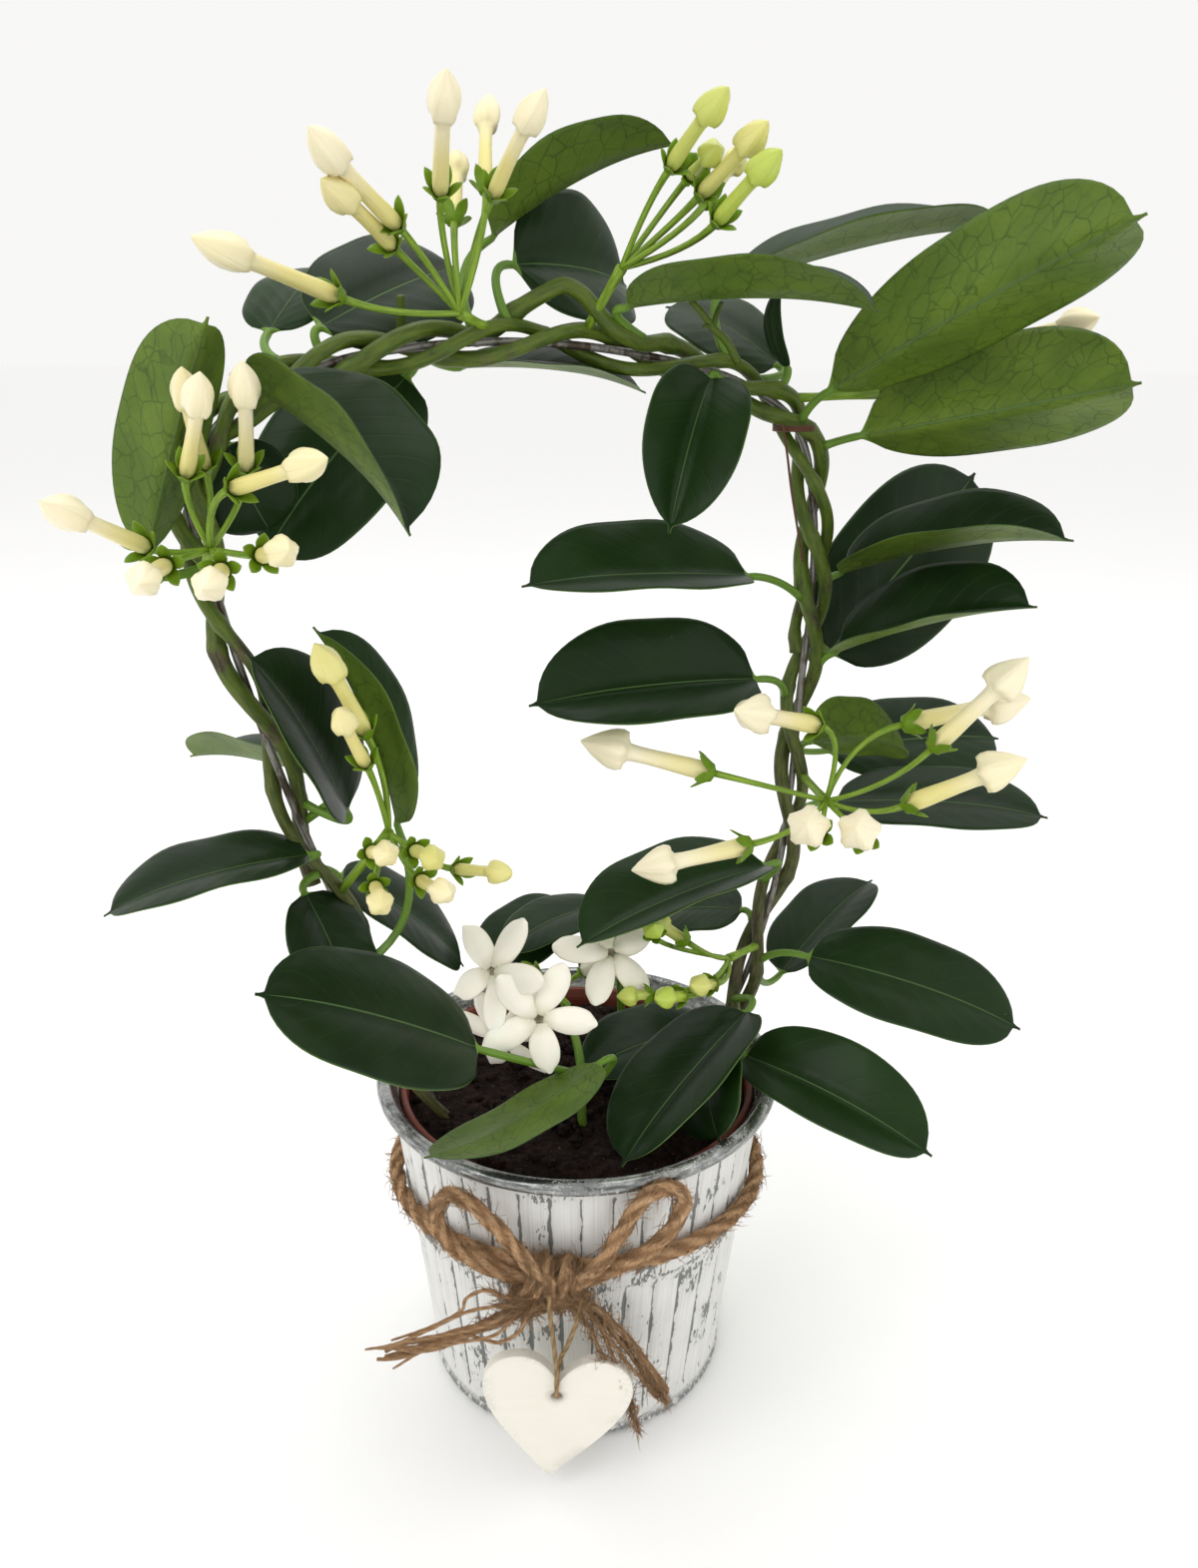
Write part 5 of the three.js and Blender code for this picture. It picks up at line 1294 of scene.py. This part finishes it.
# bud: r = profile(s) (1 + five ridges on the head) and the shoulders hang down at the five corners;
# calyx over share t up each lobe: up = t (1.2 + 5.2 lobe), out = base + 3 lobe t^1.5 - curl, where
# lobe = (1 - |2 part(5 a / 2 pi) - 1|)^0.62 gives five pointed ones
def budParts(hub, full, foot, turn, rise, length, tone, barb, order):
    axis, normal, across = bladeFrame(turn, rise, 0)
    foot = np.asarray(foot, float)
    plump = full * (length / bud["length"]) ** bud["plump"]
    share, egg, arrow = np.array(bud["profile"]).T
    radius = egg * (1 - barb) + arrow * barb
    angle = onceRound(bud["sides"]) + order
    spin = angle[None] - 0.5 * share[:, None]
    head = step(0.62, 0.70, share)[:, None]
    ridge = 1 + head * ((0.07 + 0.06 * barb) * np.cos(5 * spin) - 0.02)
    hang = -0.026 * length * np.exp(-(((share - 0.69) / 0.025) ** 2))[:, None]
    hang = hang * (0.5 + 0.5 * np.cos(5 * spin)) ** 2
    share = share ** (1.8 - 0.8 * step(14, 26, length))
    reach = radius[:, None] * plump * ridge
    lean = across * math.sin(1.7 * order) * 0.02 * length
    middle = foot + axis * (share * length)[:, None] + lean * (share * (1 - share) * 4)[:, None]
    grid = middle[:, None] + axis * hang[..., None] + reach[..., None] * spokes(across, normal, angle)
    ripe = np.clip(tone + 0.2 * math.sin(2.9 * order), 0, 1.2)
    parts = [loft(grid, run=share, tone=ripe)]
    size = (length / bud["length"]) ** 0.45
    count = bud["calyxSides"]
    lobe = (1 - np.abs(2 * (np.arange(count) % (count // 5)) / (count // 5) - 1)) ** 0.62
    t = np.array([-0.2, 0.0, 0.3, 0.6, 0.85, 1.0, 0.97, 0.8, 0.55, 0.3, 0.05])[:, None]
    inner = np.array([0, 0, 0, 0, 0, 0.3, 1, 1, 1, 1, 1])[:, None]
    part = np.clip(t, 0, 1)
    base = np.where(t < 0, 1.0, min(3.0, radius[1] * plump * 0.85 + 0.5) + 0.5 * part) / size
    out = base + 3.0 * lobe * part**1.5 - 0.45 * inner
    up = part * (1.2 + 5.2 * lobe) - 0.9 * lobe * part**4 + np.where(t < 0, -0.6, 0.2)
    around = spokes(across, normal, onceRound(count) + order)
    cup = foot + axis * (up * size)[..., None] + (out * size)[..., None] * around
    parts.append(loft(cup, finish=1))
    path = bentLine(hub, foot, axis, 9)
    thick = bud["pedicel"] * (1 + 0.35 * shareOf(path) ** 4)
    parts.append(loft(carry(path, thick, 8), finish=2))
    return parts


def addUmbels(finishes):
    for i, (name, (at, tone, full, barb, hub, buds)) in enumerate(umbels.items()):
        hub = np.array(hub, float)
        root = stalkRoot(at, hub)
        path = root + (hub - root) * np.linspace(0, 1, 6)[:, None]
        parts = [loft(carry(path, bud["peduncle"] * np.array([1.2, 1, 1, 1, 1.15, 1.3]), 10), finish=2)]
        for j, row in enumerate(buds):
            parts += budParts(hub, full, *row, tone, barb, i + 1.3 * j)
        addPiece(name + "_buds", parts, finishes, (name,))


flowers = {
  "hub": (-8, -12, 149), "shootTip": (-4, -13, 145), "peduncle": 1.4, "tube": 22.0,
  "petalLength": 17.4, "petalWidth": 9.2, "rows": 18, "lanes": 9,
  "faces": [  # middle, turn, rise and spin
      ((-25, -38, 170), -130, 26, -35), ((-10.8, -46, 158.4), -80, 10, 0),
      ((-24.6, -28, 141), -120, -20, 0), ((11, -18, 166), -60, 40, -28)],
}


def turnFromUp(axis):  # the shortest turn that brings +Z to the axis
    v = np.cross([0, 0, 1.0], axis)
    skew = np.array([[0, -v[2], v[1]], [v[2], 0, -v[0]], [-v[1], v[0], 0]])
    return np.eye(3) + skew + skew @ skew / (1 + axis[2])


# petal over share s and lane q: out = 1.4 + L s, half width = W/2 sin(pi (0.10 + 0.845 s^1.2))^0.65,
# its edges roll down, the tip bends back and low ridges run along it:
# up = 0.7 - 1.5 q^2 (1 - 0.4 s) - (1.4 + 0.8 sin order) s^2 + 0.6 q (1 - s) + 0.25 cos(3 pi q) s (1 - s)
def petalPart(middle, turn, angle, order):
    s = np.sin(np.linspace(0, np.pi / 2, flowers["rows"]))[:, None]
    q, face = twoFaced(np.sin(np.linspace(-np.pi / 2, np.pi / 2, flowers["lanes"])))
    half = flowers["petalWidth"] / 2 * np.sin(np.pi * (0.10 + 0.845 * s**1.2)) ** 0.65
    out = 1.4 + flowers["petalLength"] * s * (1 + 0.04 * math.sin(3.1 * order))
    out = out - 0.8 * q**2 * step(0.8, 1, s)
    up = 0.7 - 1.5 * q**2 * (1 - 0.4 * s) - (1.4 + 0.8 * math.sin(2.1 * order)) * s**2 + 0.6 * q * (1 - s)
    up = up + 0.25 * np.cos(3 * np.pi * q) * s * (1 - s)
    thick = face * (0.70 - 0.40 * q**2) * (1 - 0.5 * s**4)
    sway = 0.8 * math.sin(3.3 * order) * s**2
    local = np.stack([out + 0 * q, half * q + sway, up + thick], 2)
    c, d = math.cos(angle), math.sin(angle)
    spin = np.array([[c, -d, 0], [d, c, 0], [0, 0, 1]])
    uv = layoutOf((q + 1) / 2, s, local.shape[:2])
    return loft(middle + local @ (turn @ spin).T, uv=uv, finish=3)


# flower tube: turned profile that widens to the throat and goes down inside it; its tone darkens it further
# down as painted shade
def flowerParts(middle, turn, rise, spin, order):
    axis, _, _ = bladeFrame(turn, rise, 0)
    middle = np.array(middle, float)
    rot = turnFromUp(axis)
    long = flowers["tube"]
    radius, height, run, dark = np.array([
        (0.6, -long, 0.2, 0), (2.4, 1 - long, 0.2, 0), (3.0, 3 - long, 0.2, 0), (2.8, 6 - long, 0.2, 0),
        (2.2, -long / 2, 0.25, 0), (2.1, -4.0, 0.3, 0), (2.6, -1.6, 0.3, 0), (3.3, -0.2, 0.3, 0),
        (3.5, 0.45, 0.3, 0), (2.9, 0.75, 0.2, 0), (1.9, 0.1, 0.1, 0.05), (1.3, -1.6, 0.02, 0.15),
        (0.9, -3.4, 0, 0.25), (0.3, -3.8, 0, 0.35),
    ]).T
    grid = middle + ringGrid(np.stack([radius, height], 1), 20) @ rot.T
    tube = loft(grid, run=run, finish=3)
    # the last column (dark) deepens the tube's inside with depth: painted shade in the throat
    tube["tone"] = np.concatenate([np.repeat(dark, 20), [0, 1]])
    angles = [math.radians(72 * (k + 1) + spin) for k in range(5)]
    return [tube] + [petalPart(middle, rot, angle, order + 1.3 * k) for k, angle in enumerate(angles)]


def addFlowers(finishes):
    hub = np.array(flowers["hub"], float)
    tip = np.array(flowers["shootTip"], float)
    path = tip + (hub - tip) * np.linspace(-0.3, 1, 6)[:, None]
    parts = [loft(carry(path, flowers["peduncle"], 10), finish=2)]
    for i, (middle, turn, rise, spin) in enumerate(flowers["faces"]):
        axis = heading(turn, rise)
        foot = np.array(middle, float) - axis * flowers["tube"]
        parts += flowerParts(middle, turn, rise, spin, 1.0 + i)
        parts += budParts(hub, 0.8, foot, turn, rise, 30, 0.2, 0, i)[1:]  # its calyx and stalk alone
    addPiece("open_flowers_star", parts, finishes, ("open_flowers",))


flowerFinishes = [budWax(), sepalGreen(), greenStalk("freshStalk", *flowerLook["stalk"]), petalWax()]
addUmbels(flowerFinishes)
addFlowers(flowerFinishes)
print("flowers opened")
